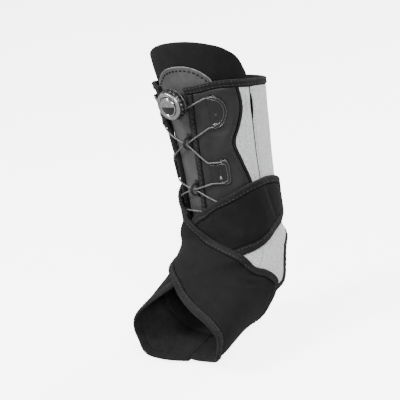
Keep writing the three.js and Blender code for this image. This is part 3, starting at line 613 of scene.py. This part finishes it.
# Tongue and pad
def tongue_edges(column, top_column, end):
    def edge(share, at):
        row = read_tongue_body(at)
        return row[0] + share * row[column], at

    def top_at(share):
        return read_tongue_top(share)[top_column]

    def side(share):
        start = float(top_at(share))
        return lambda s: edge(share, start + (end - start) * s)

    return {
        "top": lambda t: edge(2 * t - 1, top_at(2 * t - 1)),
        "bottom": lambda t: edge(2 * t - 1, end + 0 * t),
        "left": side(-1),
        "right": side(1),
    }


skin = tongue_edges(1, 0, TONGUE_END)
tongue = patch(
    "tongue_foam", between(**skin), TONGUE_IN, TONGUE_OUT, neoprene, lining, radius=1.15,
    relief=lambda turn, at, *e: 0.16 * wave_noise(turn, at, 22, 3.0),
)
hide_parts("tongue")
pad_skin = tongue_edges(2, 1, PAD_END)
pad = patch(
    "pad_leather", between(**pad_skin), PAD_IN, PAD_OUT, pad_leather, leather, radius=0.6,
    relief=lambda turn, at, fl, fr, ft, fb: (
        0.14 * smooth(ft, 2, 12) - 0.35 * bump(ft - 3.0, 0.7) + 0.06 * wave_noise(turn, at, 16, 5.0)
    ),
)
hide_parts("tongue_pad")
pad_rim = pad_skin["top"](np.linspace(0.02, 0.98, 90))
tube("pad_piping", form(*pad_rim, PAD_OUT - 0.2), 0.42, pale_thread, sides=10)
stitches("pad_stitches", inset(pad_skin["top"], 3.0, PAD_OUT), PAD_OUT, 3.4, 0.6, mat=dark_thread,
         thick=0.55, start=0.05, end=0.95)


# Top tape
def aside(turn):
    return np.abs(np.mod(np.asarray(turn) + 180, 360) - 180)


def over_sleeve(turn):
    return smooth(aside(turn), 72, 95)


def band_path(t):
    turn = BAND[0][0] + (BAND[-1][0] - BAND[0][0]) * np.asarray(t, float)
    return turn, read_band(turn)[0]


def below_band(turn):
    turn = np.asarray(turn, float)
    around = np.where(turn < BAND[0][0] - 5, turn + 360, turn)
    at = read_band(around)[0]
    return shift((turn, at), 0.0, TOP_TAPE + SEAM_GAP, STRIP_OUT)[1]


def blend(front, back):
    return lambda turn, at: front + (back - front) * over_sleeve(turn)


band_out = blend(STRIP_OUT, SLEEVE_OUT + TAPE_EXTRA)
band = patch(
    "top_tape", between(band_path, inset(band_path, TOP_TAPE, band_out)), blend(SHELL_IN, SLEEVE_IN),
    band_out, tape_cloth, lining, cell=1.1, radius=0.9,
    relief=lambda turn, at, fl, fr, ft, fb: (
        0.16 * np.sin(fl / 0.75) * smooth(ft, 0, 1.5)
        - 0.22 * bump(ft - TOP_STITCH, 0.5) - 0.22 * bump(fb - TOP_STITCH, 0.5)
    ),
)
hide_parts("top_binding")
painted_seam_shade("top_seam", inset(band_path, TOP_TAPE + SEAM_GAP / 2, band_out),
     lambda turn, at: band_out(turn, at) - 0.7, count=300)
for k, depth in enumerate((TOP_STITCH, TOP_TAPE - TOP_STITCH)):
    stitches(f"top_stitches_{k + 1}", inset(band_path, depth, band_out), band_out, start=0.005, end=0.995)


# Shells with their strips and piping
def shell_edge(column, end):
    start = float(below_band(SHELL[1][column]))

    def edge(s):
        at = start + (end - start) * np.asarray(s, float)
        return read_shell(at)[column - 1], at

    return edge


def across_head(left, right):
    """The edge under the top tape, from one turn to the other."""

    def head(s):
        turn = left + (right - left) * np.asarray(s, float)
        return turn, below_band(turn)

    return head


def guide_turn(row, side):
    """Where a guide is: on the outer side it is mirrored about its own middle."""
    return row[1] if side > 0 else 2 * row[3] - row[1]


def shell_side(name, front_column, back_column, side):
    front, back = shell_edge(front_column, SHELL_END), shell_edge(back_column, SHELL_END)

    def towards_back(path, distance):
        return lambda s: shift(path(s), side * distance, 0.0, SHELL_OUT)

    shell_front = towards_back(front, FRONT_TAPE + SEAM_GAP)
    shell_back = towards_back(back, -PIPING_TAPE - SEAM_GAP)

    def relief(turn, at, fl, fr, ft, fb):
        here = form(turn, at, SHELL_OUT)
        free = 1.0
        for row in GUIDES:
            centre = nudge((guide_turn(row, side), row[2]), side * 4.0, lift=SHELL_OUT)
            away = np.linalg.norm(here - form(*centre, SHELL_OUT), axis=-1)
            free = free * smooth(away, row[4] / 2 + 1.0, row[4] / 2 + 7.0)
        puff = 0.95 * smooth(fb, 1.5, 8) * smooth(ft, 1, 8) * smooth(fl, 0, 7)
        folds = 0.3 * wave_noise(turn, at, 13, 1.0 + side) + 0.16 * wave_noise(turn, at, 6, 4.0)
        groove = -0.5 * bump(fb - 2.2, 0.75)
        raised = puff * (0.75 + 0.35 * wave_noise(turn, at, 20, 2.0)) + folds
        return np.minimum(raised, 0.8) * free * (1 - smooth(at, 0.50, 0.55)) + groove

    head = across_head(float(shell_front(0.0)[0]), float(shell_back(0.0)[0]))
    shell = patch(
        f"{name}_shell_leather", between(shell_front, shell_back, head), SHELL_IN, SHELL_OUT, leather,
        lining, cell=1.5, radius=0.9, relief=relief,
    )
    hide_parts(f"{name}_shell")
    strip = patch(
        f"{name}_strip", between(front, towards_back(front, FRONT_TAPE)), SHELL_IN, STRIP_OUT,
        strip_cloth, lining, cell=0.9, radius=0.8,
        relief=lambda turn, at, fl, fr, ft, fb: 0.12 * np.sin(fl / 0.6) - 0.18 * bump(ft - 2.5, 0.5),
    )
    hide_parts(f"{name}_front_strip")
    stitches(f"{name}_zigzag", towards_back(front, FRONT_TAPE / 2), STRIP_OUT, 1.9, 0.95, 0.26,
             zigzag=1.35 * side, start=0.005, end=0.95)
    piping = patch(
        f"{name}_piping", between(towards_back(back, -PIPING_TAPE), back), SLEEVE_OUT + SEAM_GAP,
        SHELL_OUT + TAPE_EXTRA / 2, tape_cloth, lining, cell=1.1, radius=1.1,
        relief=lambda turn, at, fl, fr, ft, fb: 0.1 * np.sin(fl / 0.8),
    )
    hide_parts(f"{name}_back_piping")
    painted_seam_shade(f"{name}_strip_seam", towards_back(front, FRONT_TAPE + SEAM_GAP / 2), SHELL_OUT)
    painted_seam_shade(f"{name}_piping_seam", towards_back(back, -PIPING_TAPE - SEAM_GAP / 2), SHELL_OUT)
    stitches(f"{name}_shell_stitches", towards_back(back, -PIPING_TAPE - SEAM_GAP - 2.2),
             SHELL_OUT - 0.35, 2.8, thick=0.3, start=0.01, end=0.97)


shell_side("inner", 1, 2, 1)
shell_side("outer", 3, 4, -1)


# Sleeve
def other_side(point):
    return (360 - point[0], point[1])


def beside(points, distance):
    return [nudge(point, distance) for point in points]


heel_round = HEEL + [list(other_side(point)) for point in HEEL[-2::-1]]
heel_loop = closed_curve(heel_round)
heel_steps = 2 * (len(heel_round) - 1)
heel_ts = np.arange(heel_steps) / heel_steps
heel_inset = inset(heel_loop, HEEL_TAPE + SEAM_GAP, SLEEVE_OUT)
around = [tuple(map(float, point)) for point in zip(*heel_inset(heel_ts))]
seam_head = (SEAM[0][0], float(below_band(SEAM[0][0])))
seam_path = curve([seam_head] + SEAM[1:])
seam_line = list(zip(*seam_path(np.linspace(0, 1, 2 * len(SEAM) - 1))))


def sleeve_cloth(name, spot, cell, relief=None, rim=0):
    return patch(name, spot, SLEEVE_IN, SLEEVE_OUT, loop_cloth, lining, cell=cell, radius=0.8,
                 relief=relief, rim=rim)


def sleeve_relief(seed, ridged):
    """Soft wrinkles, and on a ridged panel a stay and pleats beside its right edge."""

    def relief(turn, at, fl, fr, ft, fb):
        from_seam = fr if ridged else np.minimum(fl, fr)
        wrinkle = 0.2 * wave_noise(turn, at, 15, 7.0 + seed) + 0.08 * wave_noise(turn, at, 5, 2.0)
        raised = wrinkle * smooth(from_seam, 0, 4)
        if ridged:
            bare = smooth(ft, 1, 8) * (1 - smooth(at, 0.49, 0.525))
            stay = 0.85 * bump(from_seam - 3.8, 1.5)
            waves = np.sin(from_seam * 0.9 + 1.6 * wave_noise(turn, at, 30, 2.0))
            raised = raised + (stay + 0.7 * waves * bump(from_seam - 12, 6)) * bare
        return raised

    return relief


def sleeve_panel(name, node, column, side, seamed):
    edge = shell_edge(column, SLEEVE_FOOT)

    def left(s):
        return shift(edge(s), -side * PIPING_TAPE / 2, 0.0, SLEEVE_OUT)

    top = across_head(float(left(0.0)[0]), seamed[0][0])
    foot = straight([tuple(float(v) for v in left(1.0)), seamed[-1]])
    panel = sleeve_cloth(name, between(top, foot, left, straight(seamed)), 1.8, sleeve_relief(side, True))
    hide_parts(node)


heel_side = around[2 * HEEL_TOP_ROW:2 * HEEL_SIDE_ROW]
corner = (heel_side[-1][0], SLEEVE_FOOT)
inner_line = beside(seam_line, -SEAM_GAP / 2) + heel_side + [corner]
back_line = beside(seam_line, SEAM_GAP / 2) + [heel_side[0]]
sleeve_panel("sleeve_inner", "sleeve_inner_side", 2, 1, inner_line)
sleeve_panel("sleeve_outer", "sleeve_outer_side", 4, -1, [(-point[0], point[1]) for point in inner_line])
back_right = [other_side(point) for point in back_line]
back_top = across_head(back_line[0][0], back_right[0][0])
over_heel = around[:2 * HEEL_TOP_ROW + 1][::-1]
back_bottom = straight(over_heel + [other_side(point) for point in over_heel[-2::-1]])
back_panel = sleeve_cloth(
    "sleeve_rear", between(back_top, back_bottom, straight(back_line), straight(back_right)), 1.9,
    sleeve_relief(3, False),
)
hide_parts("sleeve_back")
heel_tape_out = SLEEVE_OUT + TAPE_EXTRA / 2
heel_tape = patch(
    "heel_tape", between(inset(heel_loop, -1.5, heel_tape_out), inset(heel_loop, HEEL_TAPE, heel_tape_out)),
    SLEEVE_IN - 0.5, heel_tape_out, tape_cloth, tape_cloth, cell=0.9, radius=1.3, loop=True,
    relief=lambda turn, at, fl, fr, ft, fb: 0.14 * np.sin(fl / 0.7) * smooth(ft, 0, 1),
)
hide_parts("heel_binding")
painted_seam_shade("heel_seam", inset(heel_loop, HEEL_TAPE + SEAM_GAP / 2, heel_tape_out), SLEEVE_OUT, count=240)
stitches("heel_stitches", inset(heel_loop, HEEL_TAPE - 0.8, heel_tape_out), heel_tape_out, 2.8,
         thick=0.28)
# The pocket slits are flat near-black tubes laid on the sleeve: painted shade of each slit's opening.
slit_path = curve([(86.1, 0.305), (85.3, 0.335), (84.8, 0.372)])
slit_width = 1.3 * np.sin(np.linspace(0.1, math.pi - 0.1, 24)) ** 0.5
slit_level = SLEEVE_OUT + 0.25
for part, side in SIDES:
    turn, at = seam_path(np.linspace(0.0, 0.86, 120))
    tube(f"seam_shade_{part}", form(side * turn, at, SLEEVE_OUT - 0.25), 0.5, painted_gap_shade, sides=8)
    for k, distance in enumerate((-5.4, 2.4)):
        row = [(side * point[0], point[1]) for point in beside(seam_line, distance)]
        stitches(f"seam_stitches_{part}_{k + 1}", straight(row), SLEEVE_OUT + 0.1, 2.6, mat=grey_thread,
                 thick=0.24, start=0.02, end=0.6)
    turn, at = slit_path(np.linspace(0, 1, len(slit_width)))
    tube(f"pocket_slit_shade_{part}", form(side * turn, at, slit_level), slit_width, painted_gap_shade, sides=10,
         flat=0.45, outward=outward_at(side * turn, at, slit_level))

# Panels under the wings
left_turn, right_turn = INSTEP_TURNS
instep_top, instep_foot = (straight([(left_turn, at), (right_turn, at)]) for at in (INSTEP_TOP, FOOT_END))
instep = sleeve_cloth("instep_cloth", between(instep_top, instep_foot), 3, rim=1)
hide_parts("instep_panel")
start = nudge((right_turn, SLEEVE_FOOT), SEAM_GAP, SEAM_GAP)
end = nudge((left_turn + 360, SLEEVE_FOOT), -SEAM_GAP, SEAM_GAP)
side_turn = around[2 * HEEL_SIDE_ROW - 1][0]
under = around[2 * HEEL_SIDE_ROW:heel_steps + 1 - 2 * HEEL_SIDE_ROW]
sole_top = straight([
    start, ((start[0] + side_turn) / 2, start[1]), (side_turn, start[1]), *under,
    (360 - side_turn, start[1]), ((end[0] + 360 - side_turn) / 2, start[1]), (end[0], start[1]),
])
sole_foot = straight([(start[0], FOOT_END), (end[0], FOOT_END)])
sole = sleeve_cloth("sole_cloth", between(sole_top, sole_foot), 3, rim=1)
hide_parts("sole_panel")


# Wings
def wing_floor(turn, at):
    off = aside(turn - SHELL_MIDDLE)
    shell_floor = STRIP_OUT + LAYER_GAP
    near = WING_FLOOR_BACK + (shell_floor - WING_FLOOR_BACK) * (1 - smooth(off, 80, 98))
    lanes = 1 - smooth(aside(turn - LOWER_MIDDLE), 57, 75)
    front = near + (WING_FLOOR_FRONT - shell_floor) * lanes
    return WING_FLOOR_BACK + (front - WING_FLOOR_BACK) * (1 - smooth(at, 0.73, 0.80))


def inside_wing(turn, at, side):
    own = side * (turn - WING_MIDDLE)
    top, bottom = read_wing(np.clip(own, WING[0][0], WING[-1][0]))
    return np.where(own < WING[0][0], -1.0, np.minimum(at - top, bottom - at))


def wing_piece(name, side, over):
    end = 180 - side * WING_MIDDLE - 0.3
    rows = [row for row in WING if row[0] < end - 5]
    rows.append([end, *map(float, read_wing(end))])
    top, foot = ([(WING_MIDDLE + side * row[0], row[k]) for row in rows] for k in (1, 2))
    tip = (WING_MIDDLE + side * (rows[0][0] - WING_TIP), (rows[0][1] + rows[0][2]) / 2)
    points = top[::-1] + [tip] + foot
    outline = curve(points)

    def floor(turn, at):
        lift = smooth(inside_wing(turn, at, -side), -0.085, -0.02) * WING_STACK if over else 0.0
        return wing_floor(turn, at) + lift

    def roof(extra):
        return lambda turn, at: floor(turn, at) + WING_WALL + extra

    def within(distance):
        moved = inset(outline, -side * distance, roof(TAPE_EXTRA))

        def path(t):
            t = np.asarray(t, float)
            turn, at = moved(t)
            return np.where((t > 0) & (t < 1), turn, outline(t)[0]), at

        return path

    cleared = within(WING_TAPE + SEAM_GAP)
    tape_steps = 2 * (len(points) - 1)
    cols = (tape_steps - 6) / 2
    sheet = between(
        lambda t: cleared(cols * t / tape_steps), lambda t: cleared(1 - cols * t / tape_steps),
        right=lambda s: cleared((cols + 6 * s) / tape_steps), hold=2 * cols / 3,
    )

    def relief(turn, at, fl, fr, ft, fb):
        own, rim = side * (turn - WING_MIDDLE), np.minimum(ft, fb)
        folds = 0.3 * wave_noise(turn, at, 17, 6.0 + side) + 0.12 * wave_noise(turn, at, 7, 9.0 + side)
        across = 0.59 * (own + 100 + 88 * (at - 0.53))
        crease = (0.35 * bump(across - 2.8, 2.0) - 0.55 * bump(across, 1.1)) * smooth(rim, 0, 3)
        gather = 0.5 * np.sin(ft * 0.62 + 0.2 * own) * bump(own - 88, 14)
        gather = gather * smooth(ft, 0, 3) * (1 - smooth(ft, 10, 22))
        return folds + gather + crease + 0.35 * smooth(rim, 0.5, 7)

    foam = patch(f"{name}_foam", sheet, floor, roof(0), neoprene, lining, cell=1.7, radius=1.0,
                 relief=relief, square="left")
    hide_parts(name)
    edge = patch(
        f"{name}_tape", between(outline, within(WING_TAPE)), floor, roof(TAPE_EXTRA), tape_cloth, lining,
        cell=1.25, radius=1.25, square="left right",
        relief=lambda turn, at, fl, fr, ft, fb: (
            0.17 * np.sin(fl / 0.9 + 0.6 * np.sin(fl / 11)) * smooth(ft, 0, 2) - 0.3 * bump(fb - 1.6, 0.7)
            + 0.15 * wave_noise(turn, at, 12, 3.0)
        ),
    )
    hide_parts(f"{name}_binding")
    painted_seam_shade(f"{name}_seam", within(WING_TAPE + SEAM_GAP / 2), roof(0), 0.002, 0.998, count=420)
    stitches(f"{name}_stitches", within(WING_TAPE - 1.6), roof(TAPE_EXTRA - 0.25), 3.2, thick=0.34,
             start=0.004, end=0.996)


wing_piece("wing_under", -1, False)
wing_piece("wing_over", 1, True)
painted_seam_shade("sole_seam", straight([(180, 0.945), (180, 1.112)]),
     lambda turn, at: wing_floor(turn, at) + WING_WALL + 0.3, radius=0.5, count=60)


# Guides
def guide_on(row, side):
    """A guide's own plane, with its half height, reach, heel, corner and rise."""
    centre = (np.float64(guide_turn(row, side)), np.float64(row[2]))

    def on(x, y):
        return shift(centre, side * np.asarray(x, float), -np.asarray(y, float), GUIDE_SEAT)

    return on, row[4] / 2, row[5] - row[6], row[6], row[7], row[8]


def bulge(width, half, corner, t):
    angle = np.pi * (0.5 - t)
    return width * keep_sign(np.cos(angle), 2 / corner), half * keep_sign(np.sin(angle), 2 / corner)


def guide_piece(row, side, name):
    on, half, width, heel, corner, rise = guide_on(row, side)
    core = GUIDE_WALL + GROOVE
    # Distance from the rim, and the height there as a share of the rise
    profile = [
        (core + 0.9, 1.0), (core + 0.5, 0.98), (core + 0.22, 0.86), (core + 0.02, 0.62),
        (core - 0.08, 0.3), (core - 0.12, 0.0), (GUIDE_WALL + 0.12, 0.0), (GUIDE_WALL + 0.08, 0.3),
        (GUIDE_WALL - 0.02, 0.7), (GUIDE_WALL - 0.22, 0.94), (GUIDE_WALL - 0.5, 1.04), (0.4, 0.98),
        (0.18, 0.8), (0.04, 0.5), (0.0, 0.2),
    ]
    t = np.linspace(0, 1, 49)
    first_x, first_y = bulge(width - profile[0][0], half - profile[0][0], corner, t)
    back_y = (half - core) * (1 - 2 * t)
    lines = []
    for share in np.linspace(0, 0.94, 22):
        if corner > 4:
            slot = smooth(share, 0.50, 0.56) * (1 - smooth(share, 0.68, 0.74)) * bump(t - 0.5, 0.18)
            level = 0.92 + 0.07 * math.cos(share * 42) - 0.8 * slot
        else:
            level = 1 - 0.62 * (1 - share**2) + 0.5 * bump(share - 0.42, 0.2) * bump(t - 0.66, 0.1)
        lines.append(((first_x + heel) * share - heel, back_y + (first_y - back_y) * share, level))
    cut = np.abs(t - 0.5) > 0.5 - 0.12
    for less, share in profile:
        level = np.where(cut & (less < GUIDE_WALL), 0.0, share)
        lines.append((*bulge(width - less, half - less, corner, t), level))
    x, y, level = np.array(lines).transpose(1, 0, 2)
    turn, at = on(x, y)
    upper = form(turn, at, GUIDE_SEAT + GUIDE_PLATE + level * (rise - GUIDE_PLATE))
    lower = form(turn, at, GUIDE_SEAT - 0.25)
    verts = np.concatenate([upper.reshape(-1, 3), lower.reshape(-1, 3)])
    faces = wall_faces(*x.shape)[0]
    if side < 0:
        faces = [face[::-1] for face in faces]
    obj = mesh_object(f"{name}_{row[0]}_moulding", verts, faces, [plastic])
    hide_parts(f"{name}_{row[0]}")
    if row[0] != "lower_guide":
        guide_channel(on, half, width, corner, core, side, f"{name}_{row[0]}_channel")


def guide_channel(on, half, width, corner, core, side, name):
    """The roof over a guide's groove, so the lace only shows outside the guide."""
    roof = LACE_LEVEL + LACE_WIDTH / 2 + 0.07
    section = [
        (core + 0.15, roof), (core + 0.15, roof + 0.28), (core - 0.25, roof + 0.36),
        (core - 0.6, roof + 0.16), (GUIDE_WALL + 0.6, roof + 0.16), (GUIDE_WALL + 0.25, roof + 0.36),
        (GUIDE_WALL - 0.15, roof + 0.28), (GUIDE_WALL - 0.15, roof),
    ]
    t = np.linspace(0.03, 0.97, 60)
    lines = [form(*on(*bulge(width - less, half - less, corner, t)), lift) for less, lift in section]
    faces = ring_faces(len(t), len(section))
    if side > 0:
        faces = [face[::-1] for face in faces]
    mesh_object(name, np.stack(lines, 1).reshape(-1, 3), faces, [plastic])


for row in GUIDES:
    guide_piece(row, 1, "inner")
    guide_piece(row, -1, "outer")


def stand(spot, lift):
    """Axes of a piece set on the form: X up the leg, Y outwards, Z across."""
    along, down = steps(np.float64(spot[0]), np.float64(spot[1]), lift)
    across = unit(along)
    out = unit(np.cross(down, across))
    up = np.cross(out, across)
    place = Matrix([[up[k], out[k], across[k], 0] for k in range(3)] + [[0, 0, 0, 1]])
    place.translation = Vector(form(spot[0], spot[1], lift).tolist())
    return place


# Loops
for k, spot in enumerate(LOOPS_AT):
    place = stand(spot, PAD_OUT + FOOT_GAP)
    angle = np.linspace(0, math.pi, 25)
    arch = on_place(place, np.stack([4.85 * np.cos(angle), 7.25 * np.sin(angle), 0 * angle], -1))
    out = np.cross(np.gradient(arch, axis=0), np.array(place.to_3x3())[:, 2])
    loop = tube(f"loop_tape_{k + 1}", arch, 1.45, tape_cloth, sides=14, flat=0.42, outward=out)
    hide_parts(f"lacing_loop_{k + 1}")
    seat_line = [(-7, -0.35, 0), (-3.5, -0.05, 0), (0, 0, 0), (3.5, -0.05, 0), (7, -0.35, 0)]
    out = np.tile(np.array(place.to_3x3())[:, 1], (len(seat_line), 1))
    tube(f"loop_seat_{k + 1}", on_place(place, seat_line), 2.3, tape_cloth, flat=0.22, outward=out)

# Lace
def lane(row, side, back):
    """The lace's way round a guide's groove."""
    on, half, width, heel, corner, _ = guide_on(row, side)
    less = GUIDE_WALL + GROOVE / 2
    x, y = bulge(width - less, half - less, corner, np.linspace(0, 1, 9))
    mouth = -heel - LACE_WIDTH
    turn, at = on([mouth, *x, mouth], [half - less, *y, less - half])
    knots = [(float(p), float(q), LACE_LEVEL) for p, q in zip(turn, at)]
    return knots[::-1] if back else knots


def leave(side):
    """Where the lace comes out of a port of the dial."""
    return (*nudge(DIAL_AT, side * LACE_START, LACE_START / 2, LACE_LEVEL), LACE_LEVEL)


crescent, rect, lower = GUIDES
knots = [
    leave(1), *lane(crescent, 1, False), (*LOOPS_AT[0], LACE_LOW), *lane(rect, -1, False),
    (*LOOPS_AT[1], LACE_LOW), *lane(lower, 1, False), *lane(lower, -1, True),
    (*LOOPS_AT[1], LACE_HIGH), *lane(rect, 1, True), (*LOOPS_AT[0], LACE_HIGH),
    *lane(crescent, -1, True), leave(-1),
]
dense = []
for here, there in zip(knots[:-1], knots[1:]):
    gap = np.linalg.norm(form(*here) - form(*there))
    count = max(int(math.ceil(gap / 1.1)), 1)
    dense += [np.array(here) + (np.array(there) - np.array(here)) * i / count for i in range(count)]
points = form(*np.array([*dense, knots[-1]]).T)
for _ in range(3):
    points[1:-1] = (points[:-2] + 2 * points[1:-1] + points[2:]) / 4
lace = tube("lace_cord", points, LACE_WIDTH / 2, lace_braid, sides=10)
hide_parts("lace")

# Dial
BASE_RADIUS, BASE_HEIGHT, STEM_RADIUS, KNOB_RADIUS = 11.5, 5.2, 8.0, 12.4
HUB_RADIUS, KNOB_HEIGHT, CAP_SINK, SPINDLE = 7.6, 6.4, 1.8, 4.0
AXIS = 0.01
dial_place = stand(DIAL_AT, PAD_OUT + FOOT_GAP)
knob_foot = BASE_HEIGHT + SEAM_GAP
seat = KNOB_HEIGHT - CAP_SINK
base = lathe("dial_housing", [
    (AXIS, 0.0), (STEM_RADIUS - 0.1, 0.0), (STEM_RADIUS, 0.1), (STEM_RADIUS, 3.0), (8.3, 3.3),
    (BASE_RADIUS - 0.3, 3.6), (BASE_RADIUS, 3.9), (BASE_RADIUS, 4.8), (BASE_RADIUS - 0.2, 5.1),
    (10.9, BASE_HEIGHT), (6.0, BASE_HEIGHT), (AXIS, BASE_HEIGHT),
], 72, plastic, dial_place)
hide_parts("dial_base")
port = -LACE_START / 2
for part, side in SIDES:
    local = [(port + 0.6, 3.6, side * 8.2), (port, 3.65, side * 9.6), (port - 0.2, 3.7, side * 10.7)]
    tube(f"dial_port_{part}", on_place(dial_place, local), [1.7, 1.6, 1.35], plastic, sides=20)


def ribs(angle, level, radius):
    wave = np.clip(np.cos(angle * 20) * 2.2, -1, 1)
    ribbed = (radius > 11.6) & (level > 0.3) & (level < 4.2)
    return np.where(ribbed, 0.25 * wave - 0.25, 0.0)


bore, pocket = SPINDLE + 0.3, HUB_RADIUS + 0.3
knob = lathe("dial_grip", [
    (bore, 0.2), (11.4, 0.2), (12.0, 0.35), (KNOB_RADIUS, 0.7), (KNOB_RADIUS, 1.4), (KNOB_RADIUS, 2.2),
    (KNOB_RADIUS, 2.9), (12.2, 3.5), (11.7, 3.9), (11.45, 4.3), (11.4, 4.6), (11.3, 4.7), (11.2, 4.9),
    (10.9, 5.3), (8.9, 5.6), (8.8, 5.3), (pocket, 5.2), (pocket, seat - 0.3), (bore, seat - 0.3),
    (bore, 0.3),
], 240, plastic, dial_place, knob_foot, "knob", ribs)
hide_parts("dial_knob")


def ring(name, profile, mat, foot, body):
    return lathe(name, profile + [profile[0]], 120, mat, dial_place, foot, body)


ring("dial_bezel", [
    (8.0, 5.4), (11.1, 5.0), (11.25, 5.2), (11.0, 5.75), (10.6, 6.15), (10.0, 6.38), (9.6, 6.4),
    (9.45, 6.22), (9.3, 6.22), (9.15, 6.4), (8.5, 6.4), (8.1, 6.25), (8.0, 6.0),
], brushed, knob_foot, "knob")
hub = lathe("dial_cap", [
    (AXIS, 0), (SPINDLE, 0), (SPINDLE, seat), (HUB_RADIUS - 0.05, seat), (HUB_RADIUS, seat + 0.1),
    (HUB_RADIUS, KNOB_HEIGHT - 0.3), (HUB_RADIUS - 0.2, KNOB_HEIGHT - 0.1), (6.7, KNOB_HEIGHT + 0.1),
    (6.5, KNOB_HEIGHT + 0.2), (AXIS, KNOB_HEIGHT + 0.3),
], 120, gloss, dial_place, knob_foot, "hub")
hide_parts("dial_hub")
knob_top = knob_foot + KNOB_HEIGHT
ring("dial_cap_ring", [
    (6.62, 0), (7.45, -0.15), (7.5, 0.1), (7.25, 0.38), (6.95, 0.48), (6.68, 0.4),
], chrome, knob_top, "hub")
# A black tube laid along the bezel where its groove runs: painted shade of the groove.
sweep = np.linspace(0, 1, 40)
turned = np.radians(-8 + 96 * sweep)
run = 10.9 - 2.5 * sweep**0.8
groove_level = knob_foot + 6.36 - 0.75 * smooth(run, 10.0, 11.1)
local = np.stack([run * np.cos(turned), groove_level, run * np.sin(turned)], -1)
tube("dial_bezel_groove_shade", on_place(dial_place, local), 0.3, gloss, sides=10, body="knob")
# A brushed metal half disc over the upper half of the black cap, so the face is light above and black
# below: the split is a painted reflection.
angle = np.linspace(0, math.pi, 49)
half_disc = np.stack([6.35 * np.sin(angle), 0 * angle, 6.35 * np.cos(angle)], -1)
levels = [(1.0, 0.15), (1.0, 0.5), (0.97, 0.62), (0.55, 0.86)]
verts = [
    on_place(dial_place, half_disc * [scale, 1, scale] + [0.12 * (1 - scale), knob_top + level, 0])
    for scale, level in levels
]
faces = ring_faces(len(levels), len(angle), flip=True)
mesh_object("dial_face_light_half", np.concatenate(verts), faces, [brushed], "hub")

# Floor, light and camera
def studio_object(name, corners, faces, paint):
    mesh = bpy.data.meshes.new(name)
    mesh.from_pydata(corners, [], faces)
    mesh.materials.append(paint)
    obj = bpy.data.objects.new(name, mesh)
    bpy.context.scene.collection.objects.link(obj)
    obj.visible_diffuse = False
    obj.visible_glossy = False
    return obj


REACH, FLOOR, CEILING = 9.0, -0.0745, 8
corners = [(-REACH, -REACH), (REACH, -REACH), (REACH, REACH), (-REACH, REACH)]
floor_paint = material("floor_paint", (0.90, 0.90, 0.90), (0.93, 0.93, 0.93), 900, 0.9, specular=0.0)
floor_shader = floor_paint.node_tree.nodes["Principled BSDF"]
floor_shader.inputs["Emission Color"].default_value = (1, 1, 1, 1)
floor_shader.inputs["Emission Strength"].default_value = 5
ground = studio_object("floor", [(x, y, FLOOR) for x, y in corners], [(0, 1, 2, 3)], floor_paint)
wall = studio_object(
    "backdrop", [(x, y, z) for z in (FLOOR, CEILING) for x, y in corners],
    [(i, (i + 1) % 4, 4 + (i + 1) % 4, 4 + i) for i in range(4)], floor_paint,
)
wall.visible_shadow = False
world = bpy.data.worlds.new("studio")
world.use_nodes = True
world.node_tree.nodes["Background"].inputs["Color"].default_value = (1, 1, 1, 1)
world.node_tree.nodes["Background"].inputs["Strength"].default_value = 0.6
bpy.context.scene.world = world


def lamp(name, spot, target, width, power):
    data = bpy.data.lights.new(name, "AREA")
    data.shape = "DISK"
    data.size, data.energy = width, power
    obj = bpy.data.objects.new(name, data)
    obj.location = spot
    obj.rotation_mode = "QUATERNION"
    obj.rotation_quaternion = (Vector(target) - Vector(spot)).to_track_quat("-Z", "Y")
    bpy.context.scene.collection.objects.link(obj)


lamp("key", (-0.8, -1.5, 1.4), (0, 0, 0.03), 0.7, 62)
lamp("fill", (1.45, -1.15, 1.05), (0, 0, 0.03), 0.8, 50)
lamp("back", (0.6, 1.7, 1.3), (0, 0, 0.05), 0.9, 34)

PITCH, AZIMUTH, ELEVATION, DISTANCE, FOCAL = 13, 41, 4, 0.95, 1187.5
IMAGE, AIM_AT, SENSOR = 400, (231, 177), 36
AIM = Vector((0, -0.005, 0.055))
tilt = Matrix.Rotation(math.radians(-PITCH), 3, "X")
azimuth, elevation = math.radians(AZIMUTH), math.radians(ELEVATION)
back = Vector((
    math.sin(azimuth) * math.cos(elevation), -math.cos(azimuth) * math.cos(elevation), math.sin(elevation),
))
ahead = -back
right = ahead.cross(Vector((0, 0, 1))).normalized()
above = right.cross(ahead)
# The aim is seen at AIM_AT, so the view's middle lies beside it
look = ahead + right * ((IMAGE / 2 - AIM_AT[0]) / FOCAL) + above * ((AIM_AT[1] - IMAGE / 2) / FOCAL)
data = bpy.data.cameras.new("camera")
camera = bpy.data.objects.new("camera", data)
bpy.context.scene.collection.objects.link(camera)
look = (tilt @ look).normalized()
right = tilt @ right
right = (right - look * right.dot(look)).normalized()
above = right.cross(look)
turned = Matrix((right, above, -look)).transposed()
camera.rotation_mode = "QUATERNION"
camera.rotation_quaternion = turned.to_quaternion()
camera.location = AIM + tilt @ (back * DISTANCE)
data.sensor_width = SENSOR
data.lens = FOCAL / IMAGE * SENSOR
data.clip_start, data.clip_end = 0.05, 40
bpy.context.scene.camera = camera
